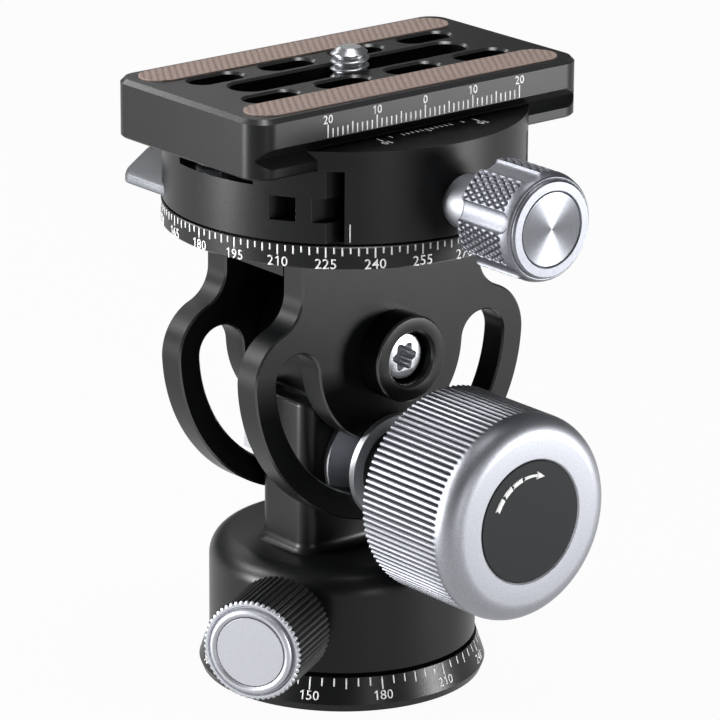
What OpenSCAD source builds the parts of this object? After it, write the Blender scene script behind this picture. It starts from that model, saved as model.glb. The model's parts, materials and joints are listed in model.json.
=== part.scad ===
// Two-way monopod head: panning base, locking tilt yoke, panning clamp and sliding plate.
// Millimetres, +Z up. Origin: centre of the base's underside, on the base's pan axis.
// The knobs face -Y and the plate runs along X.

/* [Base] */
// Radius of the base body
base_r = 22.4; // [21:0.1:25]
// Height of the graduated base ring
base_ring_h = 5.6; // [5:0.1:8]
// How far the base ring's widest part stands outside the base body
base_ring_lip = 1.7; // [0.8:0.1:3]
// Height of the base ring's lower chamfer
base_ring_chamfer = 1.3; // [0.5:0.1:2]
// Height of the base body's straight side
base_side_h = 13.3; // [12.8:0.1:16]
// Radius of the rounding above the side
base_round = 4.1; // [3.5:0.1:7]
// Radius of the base spindle's shaft
base_shaft_r = 9; // [8:0.1:10]
// Radius of the threaded socket underneath, a 3/8 inch thread
socket_r = 4.7625; // [3.175:0.0001:4.7625]
// Depth of the threaded socket
socket_depth = 12; // [8:0.5:14]

/* [Stem] */
// Width of the stem along X
stem_w = 26; // [22:0.1:27]
// Thickness of the stem's eye along Y
stem_t = 14.4; // [13.8:0.1:18]
// Thickness of the stem's column along Y
column_t = 12.8; // [12:0.1:13.6]
// Radius of the stem's corners
stem_corner = 2.75; // [1:0.05:5]
// Height of the tilt axis above the base body's underside
pivot_rise = 51.7; // [50:0.1:56]
// How far the stem's shoulder lies below the tilt axis
shoulder_drop = 8.2; // [6:0.1:9]
// Radius of the stem's round eye
eye_r = 12.5; // [11:0.1:13.5]
// Width of the neck between shoulder and eye
neck_w = 20; // [16:0.1:22]

/* [Yoke] */
// Thickness of each cheek
cheek_t = 5; // [4:0.1:7]
// Gap between the stem and each cheek
cheek_gap = 0.3; // [0.25:0.05:0.5]
// Radius of the arc slot's centre line
slot_r = 19.7; // [19.2:0.1:21]
// Width of the arc slot
slot_w = 8.9; // [8.7:0.1:9.6]
// Half the angle that the arc slot covers
slot_half = 87; // [85:0.5:88]
// Metal left outside the arc slot
wing_wall = 4.35; // [3:0.05:5]
// Half the width of the yoke's neck
yoke_half = 18.9; // [18:0.1:20]
// Radius of the hollow between neck and wing
yoke_fillet = 6; // [4:0.1:7]
// Height of the web's underside above the tilt axis
web_rise = 15.3; // [14.5:0.1:17]
// Thickness of the web
web_t = 4.9; // [4:0.1:7]
// Radius of the pivot's shaft
pivot_r = 5; // [4.6:0.1:5.5]
// Radius of the pivot's round head
pivot_head_r = 7.3; // [6.5:0.1:8]
// Length of the pivot's round head
pivot_head_l = 5; // [4:0.1:7]

/* [Tilt lock] */
// Radius of the tilt stud
stud_r = 4; // [3.5:0.05:4.05]
// Radius of the washers on the cheeks
washer_r = 9; // [8:0.1:10]
// Thickness of the washers on the cheeks
washer_t = 1.2; // [0.8:0.1:1.6]
// Radius of the tilt knob
tilt_knob_r = 17.2; // [15:0.1:18.5]
// Length of the tilt knob
tilt_knob_l = 21.7; // [18:0.1:26]
// Rounding of the tilt knob's front edge
tilt_knob_round = 3.5; // [1:0.1:5]
// Distance from the washer to the tilt knob's rear face
tilt_hub_l = 11.65; // [9:0.05:14]
// Radius of the tilt knob's hub
tilt_hub_r = 7; // [6:0.1:8]
// Radius of the disc in the tilt knob's face
tilt_disc_r = 10.13; // [8:0.05:12]

/* [Base lock] */
// Height of the base knob's axis above the base body's underside
base_knob_rise = 9.5; // [9.3:0.1:9.8]
// Angle of the base knob about the pan axis
base_knob_angle = 208.5; // [200:0.5:215]
// Radius of the base knob
base_knob_r = 8.48; // [7:0.01:8.8]
// Length of the base knob
base_knob_l = 13.9; // [10:0.1:14.2]
// Distance from the base body to the base knob's rear face
base_knob_gap = 3.3; // [3:0.1:3.6]
// Radius of the disc in the base knob's face
base_disc_r = 5.83; // [4.5:0.01:6.5]
// Radius of the locking screws
lock_screw_r = 3; // [2.5:0.1:3.2]

/* [Pan clamp] */
// Radius of the clamp
clamp_r = 29.9; // [29:0.1:32]
// How far the graduated upper ring stands outside the clamp
ring_proud = 0.2; // [0:0.05:1]
// Height of the graduated upper ring
ring_h = 3.7; // [3.4:0.1:5]
// Height of the channel floor above the clamp's underside
floor_h = 8.7; // [8.6:0.1:11]
// Depth of the channel under the plate
channel_d = 3.15; // [3:0.05:4]
// Width of the channel
channel_w = 17.2; // [16:0.1:20]
// Radius of the pan spindle's shaft
pan_shaft_r = 6.5; // [5.5:0.1:7]
// Height of the clamp screw's axis above the clamp's underside
clamp_axis_h = 5.4; // [5:0.1:5.5]
// Thickness of the jaw at its middle
jaw_t = 6.8; // [6:0.1:7.4]
// Gap between the jaw and the clamp body when the plate is held
jaw_gap = 2; // [1.5:0.1:2.5]
// Travel of the jaw
jaw_travel = 3.5; // [2:0.1:3.6]
// Distance of the jaw's guide pins from the middle
pin_x = 10; // [9:0.1:10.5]
// Radius of the jaw's guide pins
pin_r = 2; // [1.5:0.1:2.1]

/* [Clamp knob] */
// Radius of the clamp knob
clamp_knob_r = 8.9; // [7.5:0.1:9]
// Length of the clamp knob
clamp_knob_l = 12.65; // [10:0.05:14]
// Length of the clamp knob's collar
clamp_collar_l = 8.1; // [6:0.1:10]
// Radius of the clamp knob's collar
clamp_collar_r = 4.5; // [4:0.1:5.5]
// Radius of the disc in the clamp knob's face
clamp_disc_r = 6.02; // [4.5:0.01:6.6]
// Number of flutes around the clamp knob
flutes = 6; // [4:1:8]

/* [Pan lever] */
// Thickness of the lever
lever_t = 1.85; // [1.5:0.05:2]
// Length of the lever
lever_l = 33.5; // [30:0.1:36]
// Distance of the lever's screw from the clamp's rim
lever_pin_set = 5.79; // [5.5:0.01:6.1]
// Angle of the lever's screw about the pan axis
lever_pin_angle = 174.5; // [172:0.5:176]
// Radius of the lever screw's knurled head
lever_head_r = 3.8; // [3:0.1:3.9]

/* [Plate] */
// Length of the plate
plate_l = 68.4; // [60:0.1:72]
// Width of the plate
plate_w = 38; // [37.5:0.1:38.5]
// Thickness of the plate
plate_t = 9.7; // [9.3:0.1:12]
// Radius of the plate's corners
plate_corner = 4; // [2:0.1:6]
// Distance of the plate's middle from the pan axis
plate_dy = -1.1; // [-1.5:0.1:-0.6]
// Height of the flange under the side groove
flange_h = 1.7; // [1.6:0.1:2]
// Depth of the side groove
groove_d = 1.625; // [1.5:0.025:1.8]
// Chamfer of the plate's top edge
plate_chamfer = 0.8; // [0.5:0.1:1.2]
// Half the length of the long slot
long_slot_half = 24; // [22:0.5:26]
// Length of each short slot
short_slot_l = 10.2; // [8:0.1:12]
// Width of each short slot
short_slot_w = 4.6; // [3.5:0.1:5]
// Distance between short slots
slot_pitch = 14.6; // [14:0.1:15]
// Distance of each row of short slots from the plate's middle
slot_row = 7.15; // [6.9:0.05:7.4]
// Width of the grip strips
strip_w = 7.2; // [6:0.1:7.2]
// Length of the grip strips
strip_l = 63.4; // [55:0.1:64]
// Distance of the grip strips from the plate's long edges
strip_edge = 1.75; // [1.5:0.05:1.8]
// Thickness of the grip strips
strip_t = 0.7; // [0.6:0.05:1]
// How far the grip strips stand above the plate
strip_proud = 0.15; // [0.1:0.05:0.4]

/* [Camera screw] */
// Radius of the camera screw, a 1/4 inch thread
camera_r = 3.175; // [3.175:0.0001:3.2]
// How far the camera screw stands above the plate
camera_rise = 3.3; // [3:0.1:6]
// Radius of the camera screw's head
camera_head_r = 5.5; // [5:0.1:5.7]

/* [Fits] */
// Gap between the faces of a turning joint
pan_gap = 0.4; // [0.35:0.05:0.6]
// Radial clearance of a running fit
run_gap = 0.05; // [0.03:0.01:0.08]
// Radial clearance of a fixed fit
set_gap = 0.02; // [0.01:0.01:0.03]
// Clearance between seated faces
seat_gap = 0.03; // [0.02:0.01:0.05]

/* [Hidden] */
$fn = 96;
big = 80;

// heights, from the ground up
base_z = base_ring_h + pan_gap;
base_top = base_z + base_side_h + base_round;
base_axis_z = base_z + base_knob_rise;
pivot_z = base_z + pivot_rise;
tilt_z = pivot_z - slot_r;
web_z = pivot_z + web_rise;
ring_z = web_z + web_t;
ring_top = ring_z + ring_h;
clamp_z = ring_top + pan_gap;
clamp_axis_z = clamp_z + clamp_axis_h;
floor_z = clamp_z + floor_h;
ledge_z = floor_z + channel_d;
plate_z = ledge_z + seat_gap;
plate_top = plate_z + plate_t;
groove_z = plate_z + flange_h;
jaw_top = groove_z + groove_d - 0.13;

// base bearing
base_flange_r = base_shaft_r + 4;
base_flange_t = 2.5;
base_boss_r = base_shaft_r - 1;
base_ring_r = base_r + base_ring_lip;
base_ring_top_r = base_r + 0.25;
base_retainer_t = 2.2;
base_retainer_w = 10;
base_retainer_r = base_shaft_r + base_retainer_w;
base_nut_z = base_z + base_retainer_t + seat_gap;
base_nut_t = 3.4;
base_nut_r = base_shaft_r + 3.5;
base_nut_room = base_nut_z + base_nut_t + 0.5;
base_shaft_top = base_z + base_side_h - 0.5;
base_screw_r = 1.25;
base_screw_l = 7;
base_screw_d = base_shaft_r + 7;
ring_screw_d = base_shaft_r + 1.5;

// stem and yoke, along Y
stem_half = stem_t / 2;
cheek_in = stem_half + cheek_gap;
cheek_out = cheek_in + cheek_t;
wing_r = slot_r + slot_w / 2 + wing_wall;
arc_step = 0.02;
wing_end_r = wing_r - slot_r - arc_step;
bush_r = pivot_r + 1.5;
bush_l = stem_half - 0.3;
disc_r = washer_r + 0.3;
disc_t = 2;
disc_proud = cheek_gap - 0.1;
washer_y = cheek_out + seat_gap;
hub_y = washer_y + washer_t + seat_gap;
tilt_knob_y = hub_y + tilt_hub_l;
tilt_face_y = tilt_knob_y + tilt_knob_l;
insert_y = tilt_face_y - 5;
stud_front = insert_y - 3;
rear_nut_t = 5;
rear_nut_r = stud_r + 3.2;
stud_rear = hub_y + 3.5;
sleeve_rear = cheek_out - 0.1;
screw_seat = cheek_out + 0.1;
screw_head_t = 3;
screw_head_r = 3.9;
counterbore_r = screw_head_r + 0.55;
pivot_screw_r = 2.5;
rear_cap_t = 3;

// base lock, along its own axis
pad_l0 = base_shaft_r + run_gap + seat_gap;
pad_l1 = pad_l0 + 3.2;
lock_l0 = pad_l1 + seat_gap;
base_hub_l0 = base_r + 1;
base_knob_l0 = base_r + base_knob_gap;
base_knob_l1 = base_knob_l0 + base_knob_l;
lock_l1 = base_knob_l1 - 3.5;
base_hub_r = lock_screw_r + 2.5;
disc_depth = 0.8;

// pan bearing
ring_r = clamp_r + ring_proud;
pan_flange_r = pan_shaft_r + 5.5;
pan_flange_t = 2.2;
pan_spigot_r = pan_shaft_r - 0.5;
pan_retainer_t = 1.5;
pan_retainer_w = 11.3;
pan_retainer_r = pan_shaft_r + pan_retainer_w;
pan_nut_z = clamp_z + pan_retainer_t + seat_gap;
pan_nut_t = 3.4;
pan_nut_r = pan_shaft_r + 3;
pan_nut_room_r = pan_nut_r + 0.7;
pan_shaft_top = pan_nut_z + pan_nut_t + 0.6;
pan_room_top = pan_shaft_top + 0.5;
pan_screw_r = 1;
pan_screw_l = 5;
pan_screw_d = pan_shaft_r + 8;
flange_screw_d = pan_shaft_r + 2.5;
yoke_screw_r = 1.5;
yoke_screw_x = yoke_half - 3.4;
yoke_screw_y = cheek_in - 3.3;

// clamp, along Y
plate_front = plate_dy - plate_w / 2;
plate_rear = plate_dy + plate_w / 2;
jaw_y = jaw_t - clamp_r;
split_y = jaw_y + jaw_gap;
channel_front = plate_dy - channel_w / 2 - 1.3;
channel_rear = plate_dy + channel_w / 2 - 1.3;
band_z = clamp_axis_z - 2;
band_h = 4;
band_y = split_y + 1.7;
window_y = band_y + 2;
window_w = 3.9;
window_x = clamp_r - 7.4;
spot_y = 0.4 - clamp_r;
spot_r = clamp_collar_r + 0.1;
collar_y = spot_y - seat_gap - 0.5;
clamp_knob_y = collar_y - clamp_collar_l;
clamp_face_y = clamp_knob_y - clamp_knob_l;
clamp_screw_in = -pan_nut_room_r - 2.2;
clamp_bore_in = clamp_screw_in + 0.5;
clamp_screw_out = clamp_face_y + 3.5;
pin_in = channel_front + 0.5;
pin_out = jaw_y - 3.2;
spring_y0 = jaw_y + seat_gap;
spring_l = 6.5;
spring_y1 = spring_y0 + spring_l;
spring_wire = 0.45;
spring_r = pin_r + 0.7;
spring_turns = 4;

// pan lever
lever_z = clamp_z + 0.72;
lever_room = 0.2;
lever_pin_r = 2;
lever_pin_d = clamp_r - lever_pin_set;
lever_pos = [lever_pin_d * cos(lever_pin_angle), lever_pin_d * sin(lever_pin_angle)];
cam_r = 3.6;
cam_off = 1.6;
cam_turn = -30;
cam_h = 1.9;
shoe_r = 0.85;
shoe_z = lever_z + lever_t + cam_h / 2;
shoe_l0 = pan_nut_r + seat_gap;
shoe_l1 = lever_pin_d - cam_r - cam_off * cos(cam_turn) - seat_gap;
// the lever's outline from its screw, and the room beside it in the clamp, in parts of the lever's length
lever_plan = [[-0.087, 0], [-0.069, 0.385], [-0.069, 0.675], [0.003, 0.755], [0.316, 1], [0.364, 0.937],
  [0.257, 0.716], [0.107, 0.358], [0.087, 0]];
lever_side_plan = [[-0.101, 0], [-0.078, 0.385], [0.313, 0.418], [0.155, 0]];

// plate
strip_wide = min(strip_w, plate_w / 2 - strip_edge - slot_row - short_slot_w / 2 - 0.4);
strip_dy = plate_w / 2 - strip_edge - strip_wide / 2;
screw_head_z = plate_z + 0.7;
camera_head_t = 2.4;
clip_t = 0.6;
clip_z = screw_head_z + camera_head_t + seat_gap;
recess_top = clip_z + clip_t + seat_gap;
recess_half = camera_head_r + 0.5;
long_slot_w = 2 * camera_r + 0.3;
driver_w = 1.2;
shank_r = camera_r - 0.5;

module rod_z(r, z0, z1) { translate([0, 0, z0]) cylinder(r = r, h = z1 - z0); }

module rod_y(r, y0, y1, x = 0, z = 0) {
  translate([x, y0, z]) rotate([-90, 0, 0]) cylinder(r = r, h = y1 - y0);
}

// a rod lying along a direction in the horizontal plane
module rod_out(r, l0, l1, angle, z) {
  translate([0, 0, z]) rotate([0, 0, angle]) rotate([0, 90, 0]) translate([0, 0, l0])
    cylinder(r = r, h = l1 - l0);
}

module pipe_z(ro, ri, z0, z1) {
  difference() {
    rod_z(ro, z0, z1);
    rod_z(ri, z0 - 1, z1 + 1);
  }
}

module pipe_y(ro, ri, y0, y1, x = 0, z = 0) {
  difference() {
    rod_y(ro, y0, y1, x, z);
    rod_y(ri, y0 - 1, y1 + 1, x, z);
  }
}

module rounded(w, d, r) {
  square([w - 2 * r, d], center = true);
  square([w, d - 2 * r], center = true);
  for (x = [-1, 1], y = [-1, 1]) translate([x * (w / 2 - r), y * (d / 2 - r)]) circle(r);
}

module slot_2d(l, w) {
  square([l - w, w], center = true);
  for (x = [-1, 1]) translate([x * (l - w) / 2, 0]) circle(d = w);
}

// a countersunk screw with its head down, and the room for it
module sunk_screw(r, z0, z1, gap = 0) {
  translate([0, 0, z0 - gap]) cylinder(r1 = 1.8 * r + 2 * gap, r2 = r + 2 * gap, h = 0.9 * r);
  rod_z(r + gap, z0 - gap, z1 + gap);
}

// three copies spaced evenly around the axis
module around(d, first) {
  for (i = [0 : 2]) rotate([0, 0, first + i * 120]) translate([d, 0, 0]) children();
}

// an outline in Y and Z, carried across the clamp
module across(points) { rotate([90, 0, 90]) linear_extrude(2 * big, center = true) polygon(points); }

// an outline in X and Z, from y0 to y1
module upright(y0, y1) { translate([0, y1, 0]) rotate([90, 0, 0]) linear_extrude(y1 - y0) children(); }

module base_ring_fasteners(gap = 0) {
  around(ring_screw_d, 60) sunk_screw(base_screw_r, 0, base_ring_h - 0.4, gap);
}

module base_retainer_fasteners(gap = 0) {
  around(base_screw_d, 30) sunk_screw(base_screw_r, base_z, base_z + base_screw_l, gap);
}

module yoke_fasteners(gap = 0) {
  for (x = [-1, 1], y = [-1, 1]) translate([x * yoke_screw_x, y * yoke_screw_y, 0])
    sunk_screw(yoke_screw_r, web_z, ring_top - 1, gap);
}

module spindle_fasteners(gap = 0) {
  around(flange_screw_d, 30) sunk_screw(pan_screw_r, ring_z + set_gap, ring_top - 0.5, gap);
}

module pan_retainer_fasteners(gap = 0) {
  around(pan_screw_d, 90) sunk_screw(pan_screw_r, clamp_z, clamp_z + pan_screw_l, gap);
}

module base_ring() {
  color("#2b2c2e") difference() {
    rotate_extrude() polygon([[base_boss_r + set_gap, 0], [base_ring_r - 0.5, 0],
      [base_ring_r, base_ring_chamfer],
      [base_ring_top_r, base_ring_h], [base_flange_r + set_gap, base_ring_h],
      [base_flange_r + set_gap, base_ring_h - base_flange_t - set_gap],
      [base_boss_r + set_gap, base_ring_h - base_flange_t - set_gap]]);
    base_ring_fasteners(set_gap);
  }
}

module base_spindle() {
  color("#a8abb0") difference() {
    union() {
      rod_z(base_boss_r, 0, base_ring_h);
      rod_z(base_flange_r, base_ring_h - base_flange_t, base_ring_h);
      rod_z(base_shaft_r, base_ring_h - 1, base_shaft_top);
    }
    rod_z(socket_r, -1, socket_depth);
    base_ring_fasteners(set_gap);
  }
}

module base_ring_screws() { color("#b9bcc2") base_ring_fasteners(); }

module base_glide_ring() {
  color("#202122") pipe_z(base_r - 2.5, base_retainer_r - 3, base_ring_h, base_z - seat_gap);
}

module base_spindle_nut() {
  color("#a8abb0") pipe_z(base_nut_r, base_shaft_r + set_gap, base_nut_z, base_nut_z + base_nut_t);
}

module stem_base() {
  color("#2b2c2e") difference() {
    union() {
      rod_z(base_r, base_z, base_z + base_side_h);
      translate([0, 0, base_z + base_side_h]) rotate_extrude() intersection() {
        union() {
          square([base_r - base_round, base_round]);
          translate([base_r - base_round, 0]) circle(base_round);
        }
        square([base_r, base_round]);
      }
      translate([0, 0, base_top - 3]) linear_extrude(pivot_z - shoulder_drop - base_top + 3)
        rounded(stem_w, column_t, stem_corner);
      translate([-neck_w / 2, -stem_half, pivot_z - shoulder_drop - 1])
        cube([neck_w, stem_t, shoulder_drop + 1]);
      rod_y(eye_r, -stem_half, stem_half, 0, pivot_z);
    }
    rod_z(base_retainer_r + set_gap, base_z - 1, base_z + base_retainer_t);
    rod_z(base_nut_r + 0.7, base_z - 1, base_nut_room);
    rod_z(base_shaft_r + run_gap, base_z - 1, base_shaft_top + 0.5);
    base_retainer_fasteners(set_gap);
    rod_out(lock_screw_r + run_gap, 0, big, base_knob_angle, base_axis_z);
    rod_y(bush_r + set_gap, -big, big, 0, pivot_z);
    rod_y(stud_r + set_gap, -big, big, 0, tilt_z);
    for (s = [-1, 1]) rod_y(disc_r + set_gap, s > 0 ? stem_half - disc_t + disc_proud : -big,
      s > 0 ? big : disc_t - disc_proud - stem_half, 0, tilt_z);
  }
}

module base_retainer() {
  color("#8f9297") difference() {
    pipe_z(base_retainer_r, base_shaft_r + run_gap, base_z, base_z + base_retainer_t);
    base_retainer_fasteners(set_gap);
  }
}

module base_retainer_screws() { color("#b9bcc2") base_retainer_fasteners(); }

module friction_discs() {
  color("#c9cbd0") for (s = [-1, 1]) {
    y0 = s > 0 ? stem_half - disc_t + disc_proud + seat_gap : -stem_half - disc_proud;
    pipe_y(disc_r, stud_r + set_gap, y0, y0 + disc_t - seat_gap, 0, tilt_z);
  }
}

module pivot_bushes() {
  color("#b08d4a") for (y0 = [-stem_half, stem_half - bush_l])
    pipe_y(bush_r, pivot_r + run_gap, y0, y0 + bush_l, 0, pivot_z);
}

module tilt_stud() { color("#b9bcc2") rod_y(stud_r, -stud_front, stud_rear, 0, tilt_z); }

module tilt_rear_washer() {
  color("#d0d2da") pipe_y(washer_r, stud_r + set_gap, washer_y, washer_y + washer_t, 0, tilt_z);
}

module tilt_rear_nut() {
  color("#b9bcc2") difference() {
    translate([0, hub_y, tilt_z]) rotate([-90, 30, 0]) cylinder(r = rear_nut_r, h = rear_nut_t, $fn = 6);
    rod_y(stud_r + set_gap, 0, stud_rear + set_gap, 0, tilt_z);
  }
}

module base_brake_pad() {
  color("#b08d4a") rod_out(lock_screw_r, pad_l0, pad_l1, base_knob_angle, base_axis_z);
}

module base_knob() {
  color("#2b2c2e") translate([0, 0, base_axis_z]) rotate([0, 0, base_knob_angle]) rotate([0, 90, 0])
    rotate_extrude() polygon([[lock_screw_r + set_gap, base_hub_l0], [base_hub_r, base_hub_l0],
      [base_hub_r, base_knob_l0], [base_knob_r - 0.6, base_knob_l0], [base_knob_r, base_knob_l0 + 0.6],
      [base_knob_r, base_knob_l1 - 1.2], [base_knob_r - 0.35, base_knob_l1 - 0.75],
      [base_knob_r - 0.8, base_knob_l1 - 0.75], [base_knob_r - 1, base_knob_l1 - 1.3],
      [base_knob_r - 1.25, base_knob_l1 - 1.3], [base_knob_r - 1.35, base_knob_l1 - 0.4],
      [base_knob_r - 1.7, base_knob_l1],
      [base_disc_r + set_gap, base_knob_l1], [base_disc_r + set_gap, base_knob_l1 - disc_depth],
      [0, base_knob_l1 - disc_depth], [0, lock_l1 + set_gap], [lock_screw_r + set_gap, lock_l1 + set_gap]]);
}

module base_knob_disc() {
  color("#d0d2da") rod_out(base_disc_r, base_knob_l1 - disc_depth + set_gap, base_knob_l1 - 0.1,
    base_knob_angle, base_axis_z);
}

module base_lock_screw() {
  color("#b9bcc2") rod_out(lock_screw_r, lock_l0, lock_l1, base_knob_angle, base_axis_z);
}

module tilt_washer() {
  color("#d0d2da") pipe_y(washer_r, stud_r + run_gap, -washer_y - washer_t, -washer_y, 0, tilt_z);
}

module tilt_knob() {
  color("#d0d2da") difference() {
    translate([0, -tilt_knob_y, tilt_z]) rotate([90, 0, 0]) rotate_extrude() difference() {
      union() {
        square([tilt_knob_r, tilt_knob_l - tilt_knob_round]);
        square([tilt_knob_r - tilt_knob_round, tilt_knob_l]);
        translate([tilt_knob_r - tilt_knob_round, tilt_knob_l - tilt_knob_round]) circle(tilt_knob_round);
      }
      translate([-big, -1]) square([big, big]);
    }
    rod_y(tilt_hub_r + set_gap, -insert_y - set_gap, 0, 0, tilt_z);
    rod_y(tilt_disc_r + set_gap, -big, disc_depth - tilt_face_y, 0, tilt_z);
  }
}

module tilt_knob_disc() {
  color("#37393b") rod_y(tilt_disc_r, -tilt_face_y, disc_depth - set_gap - tilt_face_y, 0, tilt_z);
}

module tilt_knob_insert() {
  color("#3a3b3e") difference() {
    rod_y(tilt_hub_r, -insert_y, -hub_y, 0, tilt_z);
    rod_y(stud_r + run_gap, -stud_front - 1, 0, 0, tilt_z);
  }
}

// everything below the arc slot's two ends, with the tilt axis at the origin
module below_2d() {
  edge = -big / tan(slot_half);
  polygon([[0, 0], [-big, edge], [-big, -big], [big, -big], [big, edge]]);
}

// the cheek's outline, with the tilt axis at the origin; arcs that run into each other meet in a tiny step
module cheek_2d() {
  end = [slot_r * sin(slot_half), -slot_r * cos(slot_half)];
  hollow_x = yoke_half + yoke_fillet;
  hollow_z = end[1] + sqrt(pow(wing_end_r + yoke_fillet, 2) - pow(hollow_x - end[0], 2));
  meet = end + [hollow_x - end[0], hollow_z - end[1]] * wing_end_r / (wing_end_r + yoke_fillet);
  difference() {
    union() {
      intersection() {
        circle(wing_r);
        below_2d();
      }
      for (s = [-1, 1]) translate([s * end[0], end[1]]) circle(wing_end_r);
      translate([-yoke_half, end[1]]) square([2 * yoke_half, web_rise + web_t - end[1]]);
      for (s = [-1, 1]) polygon([[s * (yoke_half - 1), end[1]], [s * end[0], end[1]], [s * meet[0], meet[1]],
        [s * hollow_x, hollow_z], [s * (yoke_half - 1), hollow_z]]);
    }
    for (s = [-1, 1]) translate([s * hollow_x, hollow_z]) circle(yoke_fillet - arc_step);
    intersection() {
      difference() {
        circle(slot_r + slot_w / 2);
        circle(slot_r - slot_w / 2);
      }
      below_2d();
    }
    for (s = [-1, 1]) translate([s * end[0], end[1]]) circle(slot_w / 2 - arc_step);
    circle(pivot_r + set_gap);
  }
}

module yoke() {
  color("#2b2c2e") difference() {
    union() {
      for (y0 = [-cheek_out, cheek_in]) translate([0, 0, pivot_z]) upright(y0, y0 + cheek_t) cheek_2d();
      translate([-yoke_half, -cheek_out, web_z]) cube([2 * yoke_half, 2 * cheek_out, web_t]);
    }
    yoke_fasteners(set_gap);
  }
}

module pivot_sleeve() {
  color("#2b2c2e") difference() {
    union() {
      rod_y(pivot_head_r, -cheek_out - seat_gap - pivot_head_l, -cheek_out - seat_gap, 0, pivot_z);
      rod_y(pivot_r, -cheek_out - 1, sleeve_rear, 0, pivot_z);
    }
    rod_y(pivot_screw_r + set_gap, -big, big, 0, pivot_z);
    rod_y(counterbore_r, -big, -screw_seat, 0, pivot_z);
  }
}

module pivot_screw() {
  color("#b9bcc2") difference() {
    union() {
      rod_y(screw_head_r, -screw_seat - seat_gap - screw_head_t, -screw_seat - seat_gap, 0, pivot_z);
      rod_y(pivot_screw_r, -screw_seat - 1, cheek_out + rear_cap_t - 0.8, 0, pivot_z);
    }
    translate([0, -screw_seat - screw_head_t - 1, pivot_z]) rotate([-90, 0, 0])
      cylinder(r = 1.9, h = 2.6, $fn = 6);
  }
}

module pivot_rear_cap() {
  color("#2b2c2e") difference() {
    rod_y(pivot_head_r, cheek_out + seat_gap, cheek_out + rear_cap_t, 0, pivot_z);
    rod_y(pivot_screw_r + set_gap, 0, cheek_out + rear_cap_t - 0.7, 0, pivot_z);
  }
}

module degree_ring() {
  color("#2b2c2e") difference() {
    rod_z(ring_r, ring_z + set_gap, ring_top);
    rod_z(pan_spigot_r + set_gap, ring_z - 1, ring_top + 1);
    rod_z(pan_flange_r + set_gap, ring_top - pan_flange_t - set_gap, ring_top + 1);
    yoke_fasteners(set_gap);
    spindle_fasteners(set_gap);
  }
}

module yoke_screws() { color("#b9bcc2") yoke_fasteners(); }

module pan_spindle() {
  color("#a8abb0") difference() {
    union() {
      rod_z(pan_spigot_r, ring_z + set_gap, ring_top);
      rod_z(pan_flange_r, ring_top - pan_flange_t, ring_top);
      rod_z(pan_shaft_r, ring_top - 1, pan_shaft_top);
    }
    spindle_fasteners(set_gap);
  }
}

module pan_spindle_nut() {
  color("#a8abb0") pipe_z(pan_nut_r, pan_shaft_r + set_gap, pan_nut_z, pan_nut_z + pan_nut_t);
}

module pan_spindle_screws() { color("#b9bcc2") spindle_fasteners(); }

module pan_glide_ring() {
  color("#202122") pipe_z(clamp_r - 1.5, pan_retainer_r + 1, ring_top, clamp_z - seat_gap);
}

// the room that the lever's cam needs inside the clamp
module cam_room_2d() {
  intersection() {
    translate(lever_pos) circle(cam_r + cam_off + 0.3);
    circle(clamp_r - 1.9);
  }
}

// the room that the lever sweeps through, open at the clamp's rear left
module lever_room_2d() {
  cam_room_2d();
  difference() {
    polygon([[0, 0], [big * tan(12), big], [-big, big], [-big, big * tan(29.5)]]);
    circle(clamp_r - 10.6);
  }
  translate(lever_pos) polygon(lever_l * lever_side_plan);
}

module clamp_body() {
  color("#2b2c2e") difference() {
    intersection() {
      rod_z(clamp_r, clamp_z, jaw_top);
      across([[split_y, clamp_z - 1], [big, clamp_z - 1], [big, jaw_top + 1],
        [plate_rear + seat_gap - (jaw_top + 1 - groove_z - seat_gap), jaw_top + 1],
        [plate_rear + seat_gap, groove_z + seat_gap], [plate_rear + seat_gap, ledge_z],
        [channel_rear, ledge_z], [channel_rear, floor_z], [channel_front, floor_z],
        [channel_front, ledge_z], [split_y, ledge_z],
        [split_y, band_z + band_h], [band_y, band_z + band_h], [band_y, band_z], [split_y, band_z]]);
    }
    rod_z(pan_retainer_r + set_gap, clamp_z - 1, clamp_z + pan_retainer_t);
    rod_z(pan_nut_room_r, clamp_z - 1, pan_room_top);
    pan_retainer_fasteners(set_gap);
    rod_y(lock_screw_r + run_gap, -big, clamp_bore_in, 0, clamp_axis_z);
    for (s = [-1, 1]) {
      rod_y(pin_r + run_gap, -big, pin_in + 0.5, s * pin_x, clamp_axis_z);
      rod_y(spring_r + spring_wire + 0.15, -big, spring_y1 + seat_gap, s * pin_x, clamp_axis_z);
      translate([s > 0 ? window_x : -big, window_y, band_z]) cube([big - window_x, window_w, band_h]);
    }
    translate([0, 0, lever_z - lever_room]) linear_extrude(lever_t + 2 * lever_room) lever_room_2d();
    translate([0, 0, lever_z]) linear_extrude(lever_t + cam_h + lever_room) cam_room_2d();
    translate(lever_pos) rod_z(lever_pin_r + set_gap, clamp_z + 0.3, big * 2);
    rod_out(shoe_r + run_gap, 0, lever_pin_d - cam_r, lever_pin_angle, shoe_z);
  }
}

module pan_retainer() {
  color("#8f9297") difference() {
    pipe_z(pan_retainer_r, pan_shaft_r + run_gap, clamp_z, clamp_z + pan_retainer_t);
    pan_retainer_fasteners(set_gap);
  }
}

module pan_retainer_screws() { color("#b9bcc2") pan_retainer_fasteners(); }

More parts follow.
